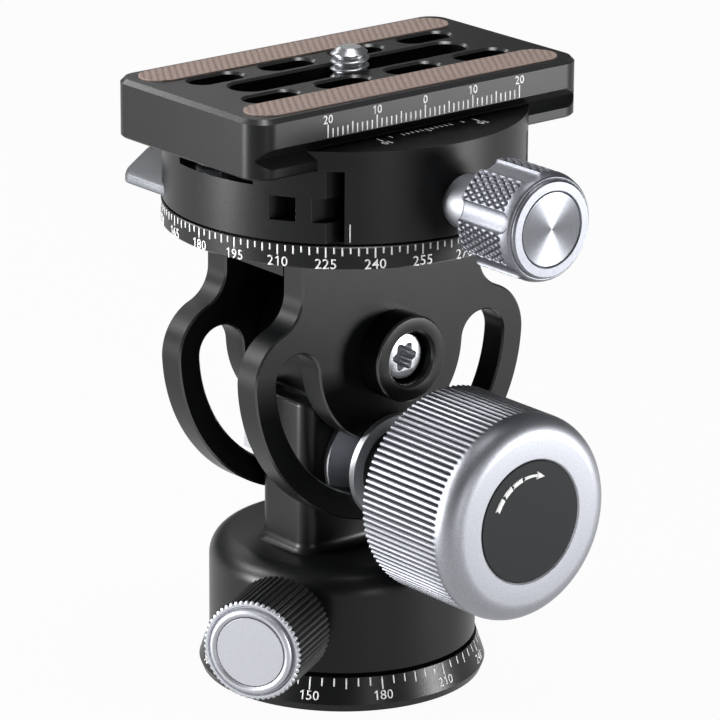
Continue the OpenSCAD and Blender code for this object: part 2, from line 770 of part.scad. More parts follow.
// a round wire wound along Y: each ring of points sits one step further around and along
module coil(y0, y1, r, wire, turns) {
  steps = turns * 14;
  sides = 6;
  rise = (y1 - y0 - 2 * wire) / steps;
  points = [for (i = [0 : steps], k = [0 : sides - 1]) let (a = i * 360 / 14, b = k * 360 / sides,
    d = r + wire * cos(b)) [d * cos(a), y0 + wire + i * rise + wire * sin(b), d * sin(a)]];
  walls = [for (i = [0 : steps - 1], k = [0 : sides - 1], half = [0, 1])
    let (n = (k + 1) % sides, a = i * sides, b = a + sides)
    half == 0 ? [a + k, b + k, b + n] : [a + k, b + n, a + n]];
  first = [for (k = [1 : sides - 2]) [0, k, k + 1]];
  last = [for (k = [1 : sides - 2]) [steps * sides, steps * sides + k + 1, steps * sides + k]];
  polyhedron(points, concat(walls, first, last), convexity = 6);
}

module jaw_springs() {
  color("#b9bcc2") for (s = [-1, 1]) translate([s * pin_x, 0, clamp_axis_z])
    coil(spring_y0, spring_y1, spring_r, spring_wire, spring_turns);
}

module lever_pivot_screw() {
  color("#d0d2da") translate(lever_pos) {
    rod_z(lever_pin_r, clamp_z + 0.3 + set_gap, floor_z + 1);
    rod_z(lever_head_r, floor_z + seat_gap, plate_z - 0.2);
  }
}

module pan_lever() {
  cam = lever_pos + cam_off * [cos(lever_pin_angle + 180 + cam_turn), sin(lever_pin_angle + 180 + cam_turn)];
  color("#d0d2da") difference() {
    union() {
      translate([0, 0, lever_z]) linear_extrude(lever_t + cam_h) {
        translate(lever_pos) circle(lever_pin_r + 1.4);
        translate(cam) circle(cam_r);
      }
      translate([0, 0, lever_z]) linear_extrude(lever_t) translate(lever_pos) polygon(lever_l * lever_plan);
    }
    translate(lever_pos) rod_z(lever_pin_r + run_gap, lever_z - 1, lever_z + lever_t + cam_h + 1);
  }
}

module pan_brake_shoe() { color("#b08d4a") rod_out(shoe_r, shoe_l0, shoe_l1, lever_pin_angle, shoe_z); }

module moving_jaw() {
  lip = jaw_top + 1 - groove_z - seat_gap;
  color("#2b2c2e") difference() {
    intersection() {
      rod_z(clamp_r, clamp_z, jaw_top);
      across([[-big, clamp_z - 1], [jaw_y, clamp_z - 1], [jaw_y, plate_z], [plate_front - seat_gap, plate_z],
        [plate_front - seat_gap, groove_z + seat_gap], [plate_front - seat_gap + lip, jaw_top + 1],
        [-big, jaw_top + 1]]);
    }
    rod_y(lock_screw_r + run_gap, -big, big, 0, clamp_axis_z);
    rod_y(spot_r, -big, spot_y, 0, clamp_axis_z);
    for (s = [-1, 1]) rod_y(pin_r + set_gap, pin_out - set_gap, 0, s * pin_x, clamp_axis_z);
  }
}

module jaw_guide_pins() {
  color("#b9bcc2") for (s = [-1, 1]) rod_y(pin_r, pin_out, pin_in, s * pin_x, clamp_axis_z);
}

module clamp_washer() {
  color("#b9bcc2") pipe_y(spot_r - 0.3, lock_screw_r + run_gap, collar_y + seat_gap, spot_y - seat_gap, 0,
    clamp_axis_z);
}

module clamp_knob() {
  color("#d0d2da") difference() {
    translate([0, 0, clamp_axis_z]) rotate([90, 0, 0]) rotate_extrude()
      polygon([[lock_screw_r + set_gap, -collar_y], [clamp_collar_r, -collar_y],
        [clamp_collar_r, -clamp_knob_y], [clamp_knob_r - 0.6, -clamp_knob_y],
        [clamp_knob_r, 0.6 - clamp_knob_y], [clamp_knob_r, -clamp_face_y - 3],
        [clamp_knob_r - 0.12, -clamp_face_y - 2.1], [clamp_knob_r - 0.45, -clamp_face_y - 1.2],
        [clamp_knob_r - 0.9, -clamp_face_y - 0.5], [clamp_knob_r - 1.35, -clamp_face_y],
        [clamp_disc_r + set_gap, -clamp_face_y],
        [clamp_disc_r + set_gap, -clamp_face_y - disc_depth], [0, -clamp_face_y - disc_depth],
        [0, set_gap - clamp_screw_out], [lock_screw_r + set_gap, set_gap - clamp_screw_out]]);
    for (i = [0 : flutes - 1]) translate([0, 0, clamp_axis_z]) rotate([0, i * 360 / flutes, 0])
      rod_y(1.6, clamp_face_y + 3.4, big, 0, clamp_knob_r + 1.1);
  }
}

module clamp_knob_disc() {
  color("#d0d2da")
    rod_y(clamp_disc_r, clamp_face_y + 0.1, clamp_face_y + disc_depth - set_gap, 0, clamp_axis_z);
}

module clamp_screw() {
  color("#b9bcc2") rod_y(lock_screw_r, clamp_screw_out, clamp_screw_in, 0, clamp_axis_z);
}

module qr_plate() {
  groove_mid = groove_z + groove_d;
  color("#2b2c2e") translate([0, plate_dy, 0]) difference() {
    translate([0, 0, plate_z]) linear_extrude(plate_t) rounded(plate_l, plate_w, plate_corner);
    for (s = [-1, 1]) across([[s * (plate_w / 2 - groove_d), groove_mid],
      [s * (plate_w / 2 + 1), groove_z - 1],
      [s * (plate_w / 2 + 1), groove_mid + groove_d + 1]]);
    for (s = [-1, 1]) across([[s * (plate_w / 2 - plate_chamfer), plate_top],
      [s * (plate_w / 2 + 1), plate_top],
      [s * (plate_w / 2 + 1), plate_top - plate_chamfer - 1]]);
    for (s = [-1, 1]) upright(-big, big) polygon([[s * (plate_l / 2 - plate_chamfer), plate_top],
      [s * (plate_l / 2 + 1), plate_top], [s * (plate_l / 2 + 1), plate_top - plate_chamfer - 1]]);
    translate([0, 0, plate_z - 1]) linear_extrude(plate_t + 2) {
      slot_2d(2 * long_slot_half, long_slot_w);
      for (i = [-1.5 : 1.5], s = [-1, 1]) translate([i * slot_pitch, s * slot_row])
        slot_2d(short_slot_l, short_slot_w);
    }
    translate([0, 0, plate_z - 1]) linear_extrude(recess_top - plate_z + 1)
      slot_2d(2 * (long_slot_half + recess_half - camera_r), 2 * recess_half);
    for (s = [-1, 1]) translate([0, s * strip_dy, plate_top - strip_t + strip_proud]) linear_extrude(2)
      slot_2d(strip_l + 2 * set_gap, strip_wide + 2 * set_gap);
  }
}

module grip_strip(side) {
  color("#93827b") translate([0, plate_dy + side * strip_dy, plate_top - strip_t + strip_proud + set_gap])
    linear_extrude(strip_t - set_gap) slot_2d(strip_l, strip_wide);
}

module front_grip_strip() { grip_strip(-1); }

module rear_grip_strip() { grip_strip(1); }

module screw_clip() {
  color("#b9bcc2") translate([0, plate_dy, 0])
    pipe_z(camera_head_r - 0.5, shank_r + run_gap, clip_z, clip_z + clip_t);
}

module camera_screw() {
  color("#b9bcc2") translate([0, plate_dy, 0]) difference() {
    union() {
      rod_z(camera_head_r, screw_head_z, screw_head_z + camera_head_t);
      rod_z(shank_r, screw_head_z + 1, plate_top + 1);
      rod_z(camera_r, plate_top + 0.4, plate_top + camera_rise);
    }
    translate([-big, -driver_w / 2, screw_head_z - 1]) cube([2 * big, driver_w, 2.2]);
  }
}

base_ring();
base_spindle();
base_ring_screws();
base_glide_ring();
base_spindle_nut();
stem_base();
base_retainer();
base_retainer_screws();
friction_discs();
pivot_bushes();
tilt_stud();
tilt_rear_washer();
tilt_rear_nut();
base_brake_pad();
base_knob();
base_knob_disc();
base_lock_screw();
tilt_washer();
tilt_knob();
tilt_knob_disc();
tilt_knob_insert();
yoke();
pivot_sleeve();
pivot_screw();
pivot_rear_cap();
degree_ring();
yoke_screws();
pan_spindle();
pan_spindle_nut();
pan_spindle_screws();
pan_glide_ring();
clamp_body();
pan_retainer();
pan_retainer_screws();
jaw_springs();
lever_pivot_screw();
pan_lever();
pan_brake_shoe();
moving_jaw();
jaw_guide_pins();
clamp_washer();
clamp_knob();
clamp_knob_disc();
clamp_screw();
qr_plate();
front_grip_strip();
rear_grip_strip();
screw_clip();
camera_screw();
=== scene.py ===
import json
import math
import bmesh
import bpy
import numpy as np
from mathutils import Matrix
from mathutils.geometry import tessellate_polygon


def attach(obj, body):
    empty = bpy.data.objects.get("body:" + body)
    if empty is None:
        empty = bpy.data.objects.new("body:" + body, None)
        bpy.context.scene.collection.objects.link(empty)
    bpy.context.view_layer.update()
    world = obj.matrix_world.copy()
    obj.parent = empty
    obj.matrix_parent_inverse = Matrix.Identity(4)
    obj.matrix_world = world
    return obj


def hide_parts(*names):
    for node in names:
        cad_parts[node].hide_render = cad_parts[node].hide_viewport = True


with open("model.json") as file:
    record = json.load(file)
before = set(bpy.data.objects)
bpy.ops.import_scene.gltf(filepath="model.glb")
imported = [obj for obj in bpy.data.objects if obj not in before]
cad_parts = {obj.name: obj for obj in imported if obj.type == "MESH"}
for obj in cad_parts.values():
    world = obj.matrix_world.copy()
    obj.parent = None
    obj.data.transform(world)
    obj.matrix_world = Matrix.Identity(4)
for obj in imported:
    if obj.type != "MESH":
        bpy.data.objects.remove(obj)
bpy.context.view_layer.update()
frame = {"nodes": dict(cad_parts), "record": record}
scene = bpy.context.scene
mm = 0.001
fullTurn = 2 * math.pi
lift = 0.02  # how far a mark stands off its surface
nearly = 1e-6  # slack when places are compared
upright = ((1, 0, 0), (0, 1, 0), (0, 0, 1))  # drawn as it stands
forward = ((1, 0, 0), (0, 0, 1), (0, -1, 0))  # drawn upright, height towards the front
across = ((1, 0, 0), (0, 0, 1), (0, 1, 0))  # drawn upright, height towards the back
print("frame loaded,", len(frame["nodes"]), "nodes")


# a dictionary whose entries are also read as names
class Sizes(dict):
    __getattr__ = dict.__getitem__


# sRGB hex to linear colour
def tone(text):
    c = np.array([int(text[i:i + 2], 16) for i in (1, 3, 5)]) / 255
    linear = np.where(c <= 0.04045, c / 12.92, ((c + 0.055) / 1.055) ** 2.4)
    return (*linear.tolist(), 1.0)


# adds one node: settings go to its sockets, ramp stops or properties, links join its inputs
def addNode(tree, kind, settings=None, links=None):
    node = tree.nodes.new(kind)
    for key, value in (settings or {}).items():
        if key == "stops":
            for element, (spot, colour) in zip(node.color_ramp.elements, value):
                element.position = spot
                element.color = tone(colour)
        elif isinstance(key, int) or key in node.inputs:
            node.inputs[key].default_value = value
        else:
            setattr(node, key, value)
    for key, source in (links or {}).items():
        tree.links.new(source, node.inputs[key])
    return node


# the emptied node tree of a new material or world
def freshTree(owner):
    owner.use_nodes = True
    owner.node_tree.nodes.clear()
    return owner.node_tree


# a metal or coating with fine grit: colour, gloss and relief all follow one noise at the grit's size; where
# a piece carries the attribute cut, the colour goes to the groove colour, a painted shade in its grooves
def grittyFinish(name, dark, light, gritMm, gloss, relief, metallic, specular=0.5, groove="#000000"):
    cloudMm, reliefMm = 9, 0.03
    mat = bpy.data.materials.new(name)
    tree = freshTree(mat)
    place = addNode(tree, "ShaderNodeTexCoord").outputs["Object"]
    fine = {"Scale": 1 / (gritMm * mm), "Detail": 2.0}
    coarse = {"Scale": 1 / (cloudMm * mm), "Detail": 3.0}
    grain = addNode(tree, "ShaderNodeTexNoise", fine, {"Vector": place}).outputs["Fac"]
    cloud = addNode(tree, "ShaderNodeTexNoise", coarse, {"Vector": place}).outputs["Fac"]
    shade = addNode(tree, "ShaderNodeValToRGB", {"stops": [(0.3, dark), (0.7, light)]}, {"Fac": grain})
    wear = addNode(tree, "ShaderNodeMath", {"operation": "MULTIPLY_ADD", 1: 0.35}, {0: cloud, 2: grain})
    span = {"From Min": 0.35, "From Max": 1.0, "To Min": gloss[0], "To Max": gloss[1]}
    rough = addNode(tree, "ShaderNodeMapRange", span, {"Value": wear.outputs[0]})
    raised = {"Strength": relief, "Distance": reliefMm * mm}
    bump = addNode(tree, "ShaderNodeBump", raised, {"Height": grain})
    # the attribute cut sets how far each place's colour goes to the groove colour: painted shade
    cut = addNode(tree, "ShaderNodeAttribute", {"attribute_name": "cut"})
    paintedGrooveShade = addNode(tree, "ShaderNodeMix", {"data_type": "RGBA", 7: tone(groove)},
                     {0: cut.outputs["Fac"], 6: shade.outputs["Color"]})
    look = {"Metallic": metallic, "Specular IOR Level": specular}
    shader = addNode(tree, "ShaderNodeBsdfPrincipled", look,
                     {"Base Color": paintedGrooveShade.outputs[2], "Roughness": rough.outputs["Result"],
                      "Normal": bump.outputs["Normal"]})
    addNode(tree, "ShaderNodeOutputMaterial", None, {"Surface": shader.outputs["BSDF"]})
    return mat


# Black anodised aluminium, bead blasted: a dyed oxide skin, dark with a soft grey sheen and a faint grain.
# The blasting grit is about 0.1 mm; it is drawn at 0.3 mm so that it shows.
blackAnodised = grittyFinish("blackAnodisedBlasted", "#0a0b0c", "#101112", 0.3, (0.31, 0.39), 0.25, 0.0,
                             0.24)
# Broken edges of the same skin: cut smoother than the blasted faces, with a lighter colour that is a painted
# highlight, so they flash along the outlines.
paintedHighlightEdgeAnodised = grittyFinish("blackAnodisedEdgePaintedHighlight", "#202122", "#2a2b2c", 0.3, (0.2, 0.28), 0.1, 0.0, 0.9)
# The same skin on the inner black pieces, a little duller.
dullAnodised = grittyFinish("blackAnodisedDull", "#0f1011", "#161718", 0.3, (0.5, 0.6), 0.25, 0.0, 0.25)
# The same skin on the base knob's ribs, a little lighter and glossier: a satin that picks out each rib.
ribAnodised = grittyFinish("blackAnodisedRibs", "#1d1e1f", "#262728", 0.3, (0.33, 0.41), 0.15, 0.0, 0.7)
# Clear anodised aluminium, blasted: cool grey metal with a wide soft highlight, painted shade in its
# grooves.
silverAnodised = grittyFinish("clearAnodisedSatin", "#8e9096", "#9b9da3", 0.3, (0.42, 0.5), 0.2, 1.0,
                              groove="#2c2d30")
# Turned aluminium, clear anodised: an even satin, with painted shade in the knurl's cuts.
turnedSilver = grittyFinish("turnedAluminium", "#75777d", "#82848a", 0.5, (0.42, 0.5), 0.1, 1.0,
                            groove="#3e4044")
# Fine-blasted aluminium of the base knob's rim and disc: pale, with no streaks. On the clamp knob's collar
# the same pale colour is a painted highlight.
discSilverAndCollarHighlight = grittyFinish("fineBlastedDiscAndCollarHighlight", "#b0b2b8", "#babcc1", 0.2, (0.5, 0.58), 0.1, 1.0)
# Stainless steel, machined: slightly warm grey, small sharp highlights.
steel = grittyFinish("stainlessMachined", "#b4b6ba", "#c6c8cb", 0.4, (0.28, 0.36), 0.1, 1.0)
# Aluminium washer, coarsely blasted: pale, with almost no highlight of its own.
washerSilver = grittyFinish("blastedAluminium", "#e0e2e6", "#eceef1", 0.3, (0.6, 0.7), 0.3, 1.0)
# Brass, machined: yellow metal of the bushes and brake pads.
brass = grittyFinish("brassMachined", "#a98646", "#bd9a57", 0.4, (0.25, 0.35), 0.1, 1.0)
# Acetal, black: the glide rings, one of which shows in the clamp's split.
acetal = grittyFinish("acetalBlack", "#131314", "#1b1b1c", 0.8, (0.45, 0.55), 0.1, 0.0, 0.3)
# Rubber, moulded: warm brown-grey, matt, with a dusty skin; its groove colour is a painted shade in the
# pits.
brownRubber = grittyFinish("brownRubberMoulded", "#8b7a73", "#a39189", 0.25, (0.68, 0.82), 0.5, 0.0, 0.3,
                           "#64544e")
# Printed polyester label: flat dark grey, matt.
labelFilm = grittyFinish("printedFilmMatt", "#16181a", "#1c1e20", 0.3, (0.5, 0.6), 0.1, 0.0, 0.2)
# Laser marks: the dye is burned out of the oxide, which leaves a dry white stroke.
laserWhite = grittyFinish("laserMarkedOxide", "#ebeced", "#f4f4f5", 0.2, (0.6, 0.7), 0.1, 0.0, 0.3)
# Sintered friction disc: pale grey metal, matt.
frictionGrey = grittyFinish("frictionDiscSintered", "#b0b2b6", "#bcbec2", 0.3, (0.5, 0.58), 0.3, 1.0)
# Steel lever, blasted: a darker satin grey.
leverGrey = grittyFinish("satinSteelGrey", "#6a6c70", "#787a7e", 0.3, (0.4, 0.48), 0.2, 1.0)


# Spun aluminium: the lathe's rings stretch each highlight into a wedge that runs to the centre.
def spunFinish(name):
    mat = bpy.data.materials.new(name)
    tree = freshTree(mat)
    around = addNode(tree, "ShaderNodeTangent", {"direction_type": "UV_MAP", "uv_map": "rings"})
    spots = addNode(tree, "ShaderNodeUVMap", {"uv_map": "rings"})
    stretch = addNode(tree, "ShaderNodeMapping", {"Scale": (2.0, 5.0, 1.0)},
                      {"Vector": spots.outputs["UV"]})
    rings = addNode(tree, "ShaderNodeTexNoise", {"Scale": 9.0, "Detail": 2.0},
                    {"Vector": stretch.outputs["Vector"]})
    shade = addNode(tree, "ShaderNodeValToRGB", {"stops": [(0.35, "#6e7075"), (0.65, "#76787d")]},
                    {"Fac": rings.outputs["Fac"]})
    look = {"Metallic": 1.0, "Roughness": 0.3, "Anisotropic": 0.85, "Anisotropic Rotation": 0.25}
    shader = addNode(tree, "ShaderNodeBsdfPrincipled", look,
                     {"Base Color": shade.outputs["Color"], "Tangent": around.outputs["Tangent"]})
    addNode(tree, "ShaderNodeOutputMaterial", None, {"Surface": shader.outputs["BSDF"]})
    return mat


spunSilver = spunFinish("spunAluminium")
print("materials made")


# 0 up to zero, then a straight rise to 1 over a length
def rise(value, length):
    return np.clip(value / length, 0, 1)


# points at a radius, an angle and a height
def polar(radius, angle, height):
    return np.stack([radius * np.cos(angle), radius * np.sin(angle), height], -1)


# points on an arc, angles in degrees
def arc(cx, cy, radius, start, end, steps):
    t = np.radians(np.linspace(start, end, steps))
    return np.stack([cx + radius * np.cos(t), cy + radius * np.sin(t)], 1)


# a slot with round ends, counter-clockwise
def slotLoop(length, width, cy=0):
    half = (length - width) / 2
    return np.concatenate([arc(half, cy, width / 2, -90, 90, 14), arc(-half, cy, width / 2, 90, 270, 14)])


# a rectangle with a quarter circle at each corner, counter-clockwise
def boxLoop(wide, deep, corner, steps=10):
    x, y = wide / 2 - corner, deep / 2 - corner
    spots = [(x, -y), (x, y), (-x, y), (-x, -y)]
    return np.concatenate([arc(*spot, corner, 90 * i - 90, 90 * i, steps) for i, spot in enumerate(spots)])


# drops points that lie on the one before, so that every side has a length
def tidyLoop(loop):
    shortest = 1e-5
    step = np.linalg.norm(np.roll(loop, -1, 0) - loop, axis=1)
    return loop[step > shortest]


# each corner of a line becomes a small curve between two points set back along its sides
def softCorners(points, setBack, steps=4):
    p = np.asarray(points, float)
    s = np.full(len(p), float(setBack))
    s[[0, -1]] = 0
    before = np.roll(p, 1, 0) - p
    after = np.roll(p, -1, 0) - p
    lengths = np.linalg.norm(before, axis=1), np.linalg.norm(after, axis=1)
    s = np.minimum(s, 0.49 * np.minimum(*lengths))[:, None]
    a = p + before / np.maximum(lengths[0], 1e-9)[:, None] * s
    b = p + after / np.maximum(lengths[1], 1e-9)[:, None] * s
    t = np.linspace(0, 1, steps)[None, :, None]
    return ((1 - t) ** 2 * a[:, None] + 2 * t * (1 - t) * p[:, None] + t ** 2 * b[:, None]).reshape(-1, 2)


# how each outline point moves per millimetre of offset, so that every side moves by the same amount
def miter(loop):
    d = np.roll(loop, -1, 0) - loop
    d = d / np.linalg.norm(d, axis=1)[:, None]
    n = np.stack([d[:, 1], -d[:, 0]], 1)
    m = np.roll(n, 1, 0)
    return (n + m) / np.maximum(1 + (n * m).sum(1), 0.2)[:, None]


# quads of a grid of points, closed round its columns, its rows or both
def gridPart(points, wrapCols=True, wrapRows=False):
    rows, cols = points.shape[:2]
    r, c = np.meshgrid(np.arange(rows - (not wrapRows)), np.arange(cols - (not wrapCols)), indexing="ij")
    r2, c2 = (r + 1) % rows, (c + 1) % cols
    quads = np.stack([r * cols + c, r * cols + c2, r2 * cols + c2, r2 * cols + c], -1).reshape(-1, 4)
    return points.reshape(-1, 3), [quads]


# a wall round an outline: each level is (inset, height), and a hole takes its inset outwards
def wallPart(loop, levels, hole=False):
    levels = np.asarray(levels, float)
    flat = loop[None] + (1 if hole else -1) * levels[:, 0, None, None] * miter(loop)[None]
    high = np.broadcast_to(levels[:, 1, None, None], flat.shape[:2] + (1,))
    return gridPart(np.concatenate([flat, high], 2))


# a flat face at one height, left open at its holes
def facePart(loops, height):
    flat = np.concatenate(loops)
    lines = [np.column_stack([loop, np.zeros(len(loop))]).tolist() for loop in loops]
    return np.column_stack([flat, np.full(len(flat), height)]), [np.array(tessellate_polygon(lines))]


# an outline with holes carried along a height: walls by their levels, and a face at each end
def prismParts(loops, levels):
    parts = [wallPart(loop, levels, i > 0) for i, loop in enumerate(loops)]
    for inset, height in (levels[0], levels[-1]):
        ends = [loop + (1 if i else -1) * inset * miter(loop) for i, loop in enumerate(loops)]
        parts.append(facePart(ends, height))
    return parts


# a profile of (radius, height) pairs carried round its axis; shape changes the radius by angle and height
def turnedPart(profile, columns, shape=None, ring=False):
    profile = np.asarray(profile, float)
    angle = np.arange(columns)[None, :] * fullTurn / columns
    radius = np.repeat(profile[:, :1], columns, 1)
    height = np.repeat(profile[:, 1:], columns, 1)
    if shape is not None:
        radius = shape(radius, angle, height)
    return gridPart(polar(radius, angle, height), True, ring)


# a thread: rows follow the helix, so every crest is one unbroken line; each end is cut square, and contour
# gives the radius from the place within a pitch (0 to 1) and the height
def helixPart(contour, pitch, low, top, columns, steps=14):
    row = np.arange(-steps, math.ceil((top - low) / pitch * steps) + 1)[:, None]
    turn = np.arange(columns + 1)[None, :] / columns
    height = np.clip(low + pitch * (row / steps + turn), low, top)
    radius = contour(np.broadcast_to((row % steps) / steps, height.shape), height)
    return gridPart(polar(radius, turn * fullTurn, height), False)


# levels of a wall whose two edges are broken
def brokenLevels(low, high, edge):
    return [(edge, low), (0, low + edge), (0, high - edge), (edge, high)]


# levels of a hole whose upper edge is broken
def holeLevels(floor, top, edge):
    return [(0, floor), (0, top - edge), (edge, top)]


# levels of a wall whose lower and upper edges are rounded
def roundLevels(low, high, lowRound, topRound, steps=5):
    t = np.radians(np.linspace(0, 90, steps))
    lower = np.stack([lowRound * (1 - np.sin(t)), low + lowRound * (1 - np.cos(t))], 1)
    upper = np.stack([topRound * (1 - np.cos(t)), high - topRound * (1 - np.sin(t))], 1)
    return np.concatenate([lower, upper]).tolist()


# carries parts drawn in their own axes to the place of the piece
def placed(parts, axes, origin=(0, 0, 0)):
    axes, origin = np.asarray(axes, float), np.asarray(origin, float)
    return [(points @ axes + origin, faces) for points, faces in parts]


# 0 at the middle of a tooth, 1 between two teeth, in straight lines
def toothWave(angle, teeth):
    return np.abs(((angle * teeth / fullTurn) % 1.0) - 0.5) * 2


# picks the faces whose direction along one axis lies between two shares
def edgeFaces(axis, low, high):
    return lambda facing, place: (facing[:, axis] > low) & (facing[:, axis] < high)


# one value for each item of a mesh, or a row of values
def readRows(items, key, width=1, kind=np.float32):
    values = np.empty(len(items) * width, kind)
    items.foreach_get(key, values)
    return values.reshape(-1, width) if width > 1 else values


# joins parts into one mesh, closes its seams, turns its faces outwards and breaks its edges by edge mm; cut
# gives by place how far the colour goes to painted groove shade, and rim picks by direction and place the
# faces of broken edges, which take the edge finish's painted highlight
def buildPiece(name, parts, body, slotName, material, standsFor=(), sharp=30, edge=0, flat=False, cut=None,
               rim=None):
    weldMm, hardAngle, strokeMm = 0.003, 38, 0.04
    points = np.concatenate([p for p, _ in parts])
    offset = np.cumsum([0] + [len(p) for p, _ in parts])
    blocks = [np.asarray(f) + offset[i] for i, (_, faces) in enumerate(parts) for f in faces if len(f)]
    sizes = np.concatenate([np.full(len(b), b.shape[1]) for b in blocks])
    loops = np.concatenate([b.ravel() for b in blocks])
    mesh = bpy.data.meshes.new(name)
    mesh.vertices.add(len(points))
    mesh.vertices.foreach_set("co", (points * mm).astype(np.float32).ravel())
    mesh.loops.add(len(loops))
    mesh.loops.foreach_set("vertex_index", loops.astype(np.int32))
    mesh.polygons.add(len(sizes))
    mesh.polygons.foreach_set("loop_start", (np.cumsum(sizes) - sizes).astype(np.int32))
    mesh.update(calc_edges=True)
    if cut is not None:
        depth = mesh.attributes.new("cut", "FLOAT", "POINT")
        depth.data.foreach_set("value", cut(points).astype(np.float32))
    mesh.validate()
    if not flat:
        bm = bmesh.new()
        bm.from_mesh(mesh)
        bmesh.ops.remove_doubles(bm, verts=bm.verts, dist=weldMm * mm)
        bmesh.ops.delete(bm, geom=[e for e in bm.edges if not e.link_faces], context="EDGES")
        bmesh.ops.delete(bm, geom=[v for v in bm.verts if not v.link_faces], context="VERTS")
        bmesh.ops.recalc_face_normals(bm, faces=bm.faces)
        if edge:
            hard = [e for e in bm.edges if e.is_manifold and e.calc_face_angle(0) > math.radians(hardAngle)]
            bmesh.ops.bevel(bm, geom=hard, offset=edge * mm, offset_type="OFFSET", segments=2, profile=0.5,
                            affect="EDGES", clamp_overlap=True, material=1)
        bm.to_mesh(mesh)
        bm.free()
    mesh.shade_smooth()
    mesh.set_sharp_from_angle(angle=math.radians(sharp))
    obj = bpy.data.objects.new(name, mesh)
    scene.collection.objects.link(obj)
    mesh.materials.append(material)
    # broken edges and rim faces take the edge finish, whose lighter colour is a painted highlight
    if edge or rim:
        mesh.materials.append(paintedHighlightEdgeAnodised)
    if rim:
        facing = np.abs(readRows(mesh.polygons, "normal", 3))
        middle = readRows(mesh.polygons, "center", 3) / mm
        mesh.polygons.foreach_set("material_index", rim(facing, middle).astype(np.int32))
    if flat:
        skin = obj.modifiers.new("skin", "SOLIDIFY")  # a stroke is a thin solid set into the surface
        skin.thickness = strokeMm * mm
        skin.offset = -1
    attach(obj, body)
    if standsFor:
        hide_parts(*standsFor)
    return obj


# a piece turned about one axis: its profile is carried round, then set in its place
def turnedPiece(name, profile, columns, axes, place, *rest, shape=None, ring=False, **more):
    return buildPiece(name, placed([turnedPart(profile, columns, shape, ring)], axes, place), *rest, **more)


# straight strokes in a plane: centre, width, foot and top of each
def strokes(centre, width, low, high):
    sizes = [np.atleast_1d(np.asarray(v, float)) for v in (centre, width, low, high)]
    c, w, a, b = np.broadcast_arrays(*sizes)
    x = np.stack([c - w / 2, c + w / 2, c + w / 2, c - w / 2], 1)
    y = np.stack([a, a, b, b], 1)
    return np.stack([x, y], 2).reshape(-1, 2), [np.arange(4 * len(c)).reshape(-1, 4)]


# a long tick where the first step divides the value, a middle one for the second step, else a short one
def tickLengths(values, steps, sizes):
    minor = np.where(values % steps[1] == 0, sizes.midTick, sizes.shortTick)
    return np.where(values % steps[0] == 0, sizes.longTick, minor)


glyphs = {}


# one digit as a flat mesh of height 1, centred; the one is a bar with a flag
def glyph(digit, weight):
    if digit == "1":
        bar = [(0, -0.5), (0.14, -0.5), (0.14, 0.5), (0, 0.5)]
        flag = [(0, 0.5), (-0.2, 0.32), (-0.2, 0.18), (0, 0.3)]
        return np.array(bar + flag), [np.array([[0, 1, 2, 3], [4, 5, 6, 7]])]
    if (digit, weight) not in glyphs:
        curve = bpy.data.curves.new("digit", "FONT")
        curve.body = digit
        curve.resolution_u = 3
        curve.offset = weight
        obj = bpy.data.objects.new("digit", curve)
        scene.collection.objects.link(obj)
        mesh = bpy.data.meshes.new_from_object(obj.evaluated_get(bpy.context.evaluated_depsgraph_get()))
        mesh.calc_loop_triangles()
        tris = readRows(mesh.loop_triangles, "vertices", 3, np.int32)
        flat = readRows(mesh.vertices, "co", 3)[:, :2].astype(float)
        flat = (flat - (flat.min(0) + flat.max(0)) / 2) / np.ptp(flat[:, 1])
        bpy.data.objects.remove(obj)
        bpy.data.curves.remove(curve)
        bpy.data.meshes.remove(mesh)
        glyphs[digit, weight] = flat, [tris]
    return glyphs[digit, weight]


# a number set digit by digit round its middle
def numeral(text, height, cx, cy, weight=0.012, upsideDown=False):
    spacing = 0.74
    marks = []
    for i, digit in enumerate(text):
        flat, faces = glyph(digit, weight)
        flat = flat * height + np.array([(i - (len(text) - 1) / 2) * spacing * height, 0])
        marks.append(((-flat if upsideDown else flat) + np.array([cx, cy]), faces))
    return marks


# carries flat marks onto a surface given as a function of two lengths
def marksOn(marks, surface):
    return [(surface(p[:, 0], p[:, 1]), faces) for p, faces in marks]


# a cylinder's wall as a surface: the length round it, and the height above a level
def onCylinder(radius, level=0):
    return lambda u, v: polar(radius + lift, u / radius, level + v)


print("shape tools ready")

# stem: a round base with a rolled shoulder, a column on a hollow foot, and the pivot eye
stem = Sizes(baseRadius=22.4, baseLow=6.03, lowEdge=0.3, sideTop=19.3, roll=4.1, wide=26.0, deep=12.8,
             corner=2.75, foot=2.0, footStart=30, footSink=0.05, shoulder=49.5, shoulderRoll=0.8,
             neckHalf=10.0, eyeRadius=12.5, eyeHeight=57.7, eyeDeep=14.4, eyeEdge=0.4)
s = stem
baseTop = s.sideTop + s.roll
baseProfile = np.concatenate([
    [(0, s.baseLow), (s.baseRadius - s.lowEdge, s.baseLow), (s.baseRadius, s.baseLow + s.lowEdge)],
    arc(s.baseRadius - s.roll, s.sideTop, s.roll, 0, 90, 16), [(0, baseTop)]])
footTurn = np.radians(np.linspace(s.footStart, 90, 9))
rollTurn = np.radians(np.linspace(0, 90, 5))
columnLevels = np.concatenate([
    np.stack([-s.foot * (1 - np.sin(footTurn)),
              baseTop - s.footSink + s.foot * (np.cos(footTurn[0]) - np.cos(footTurn))], 1),
    np.stack([s.shoulderRoll * (1 - np.cos(rollTurn)),
              s.shoulder - s.shoulderRoll * (1 - np.sin(rollTurn))], 1)])
stemParts = [turnedPart(baseProfile, 180)]
stemParts += prismParts([tidyLoop(boxLoop(s.wide, s.deep, s.corner))], columnLevels.tolist())
eyeStart = -math.degrees(math.acos(s.neckHalf / s.eyeRadius))
neck = [(-s.neckHalf, s.shoulder - 1), (s.neckHalf, s.shoulder - 1)]
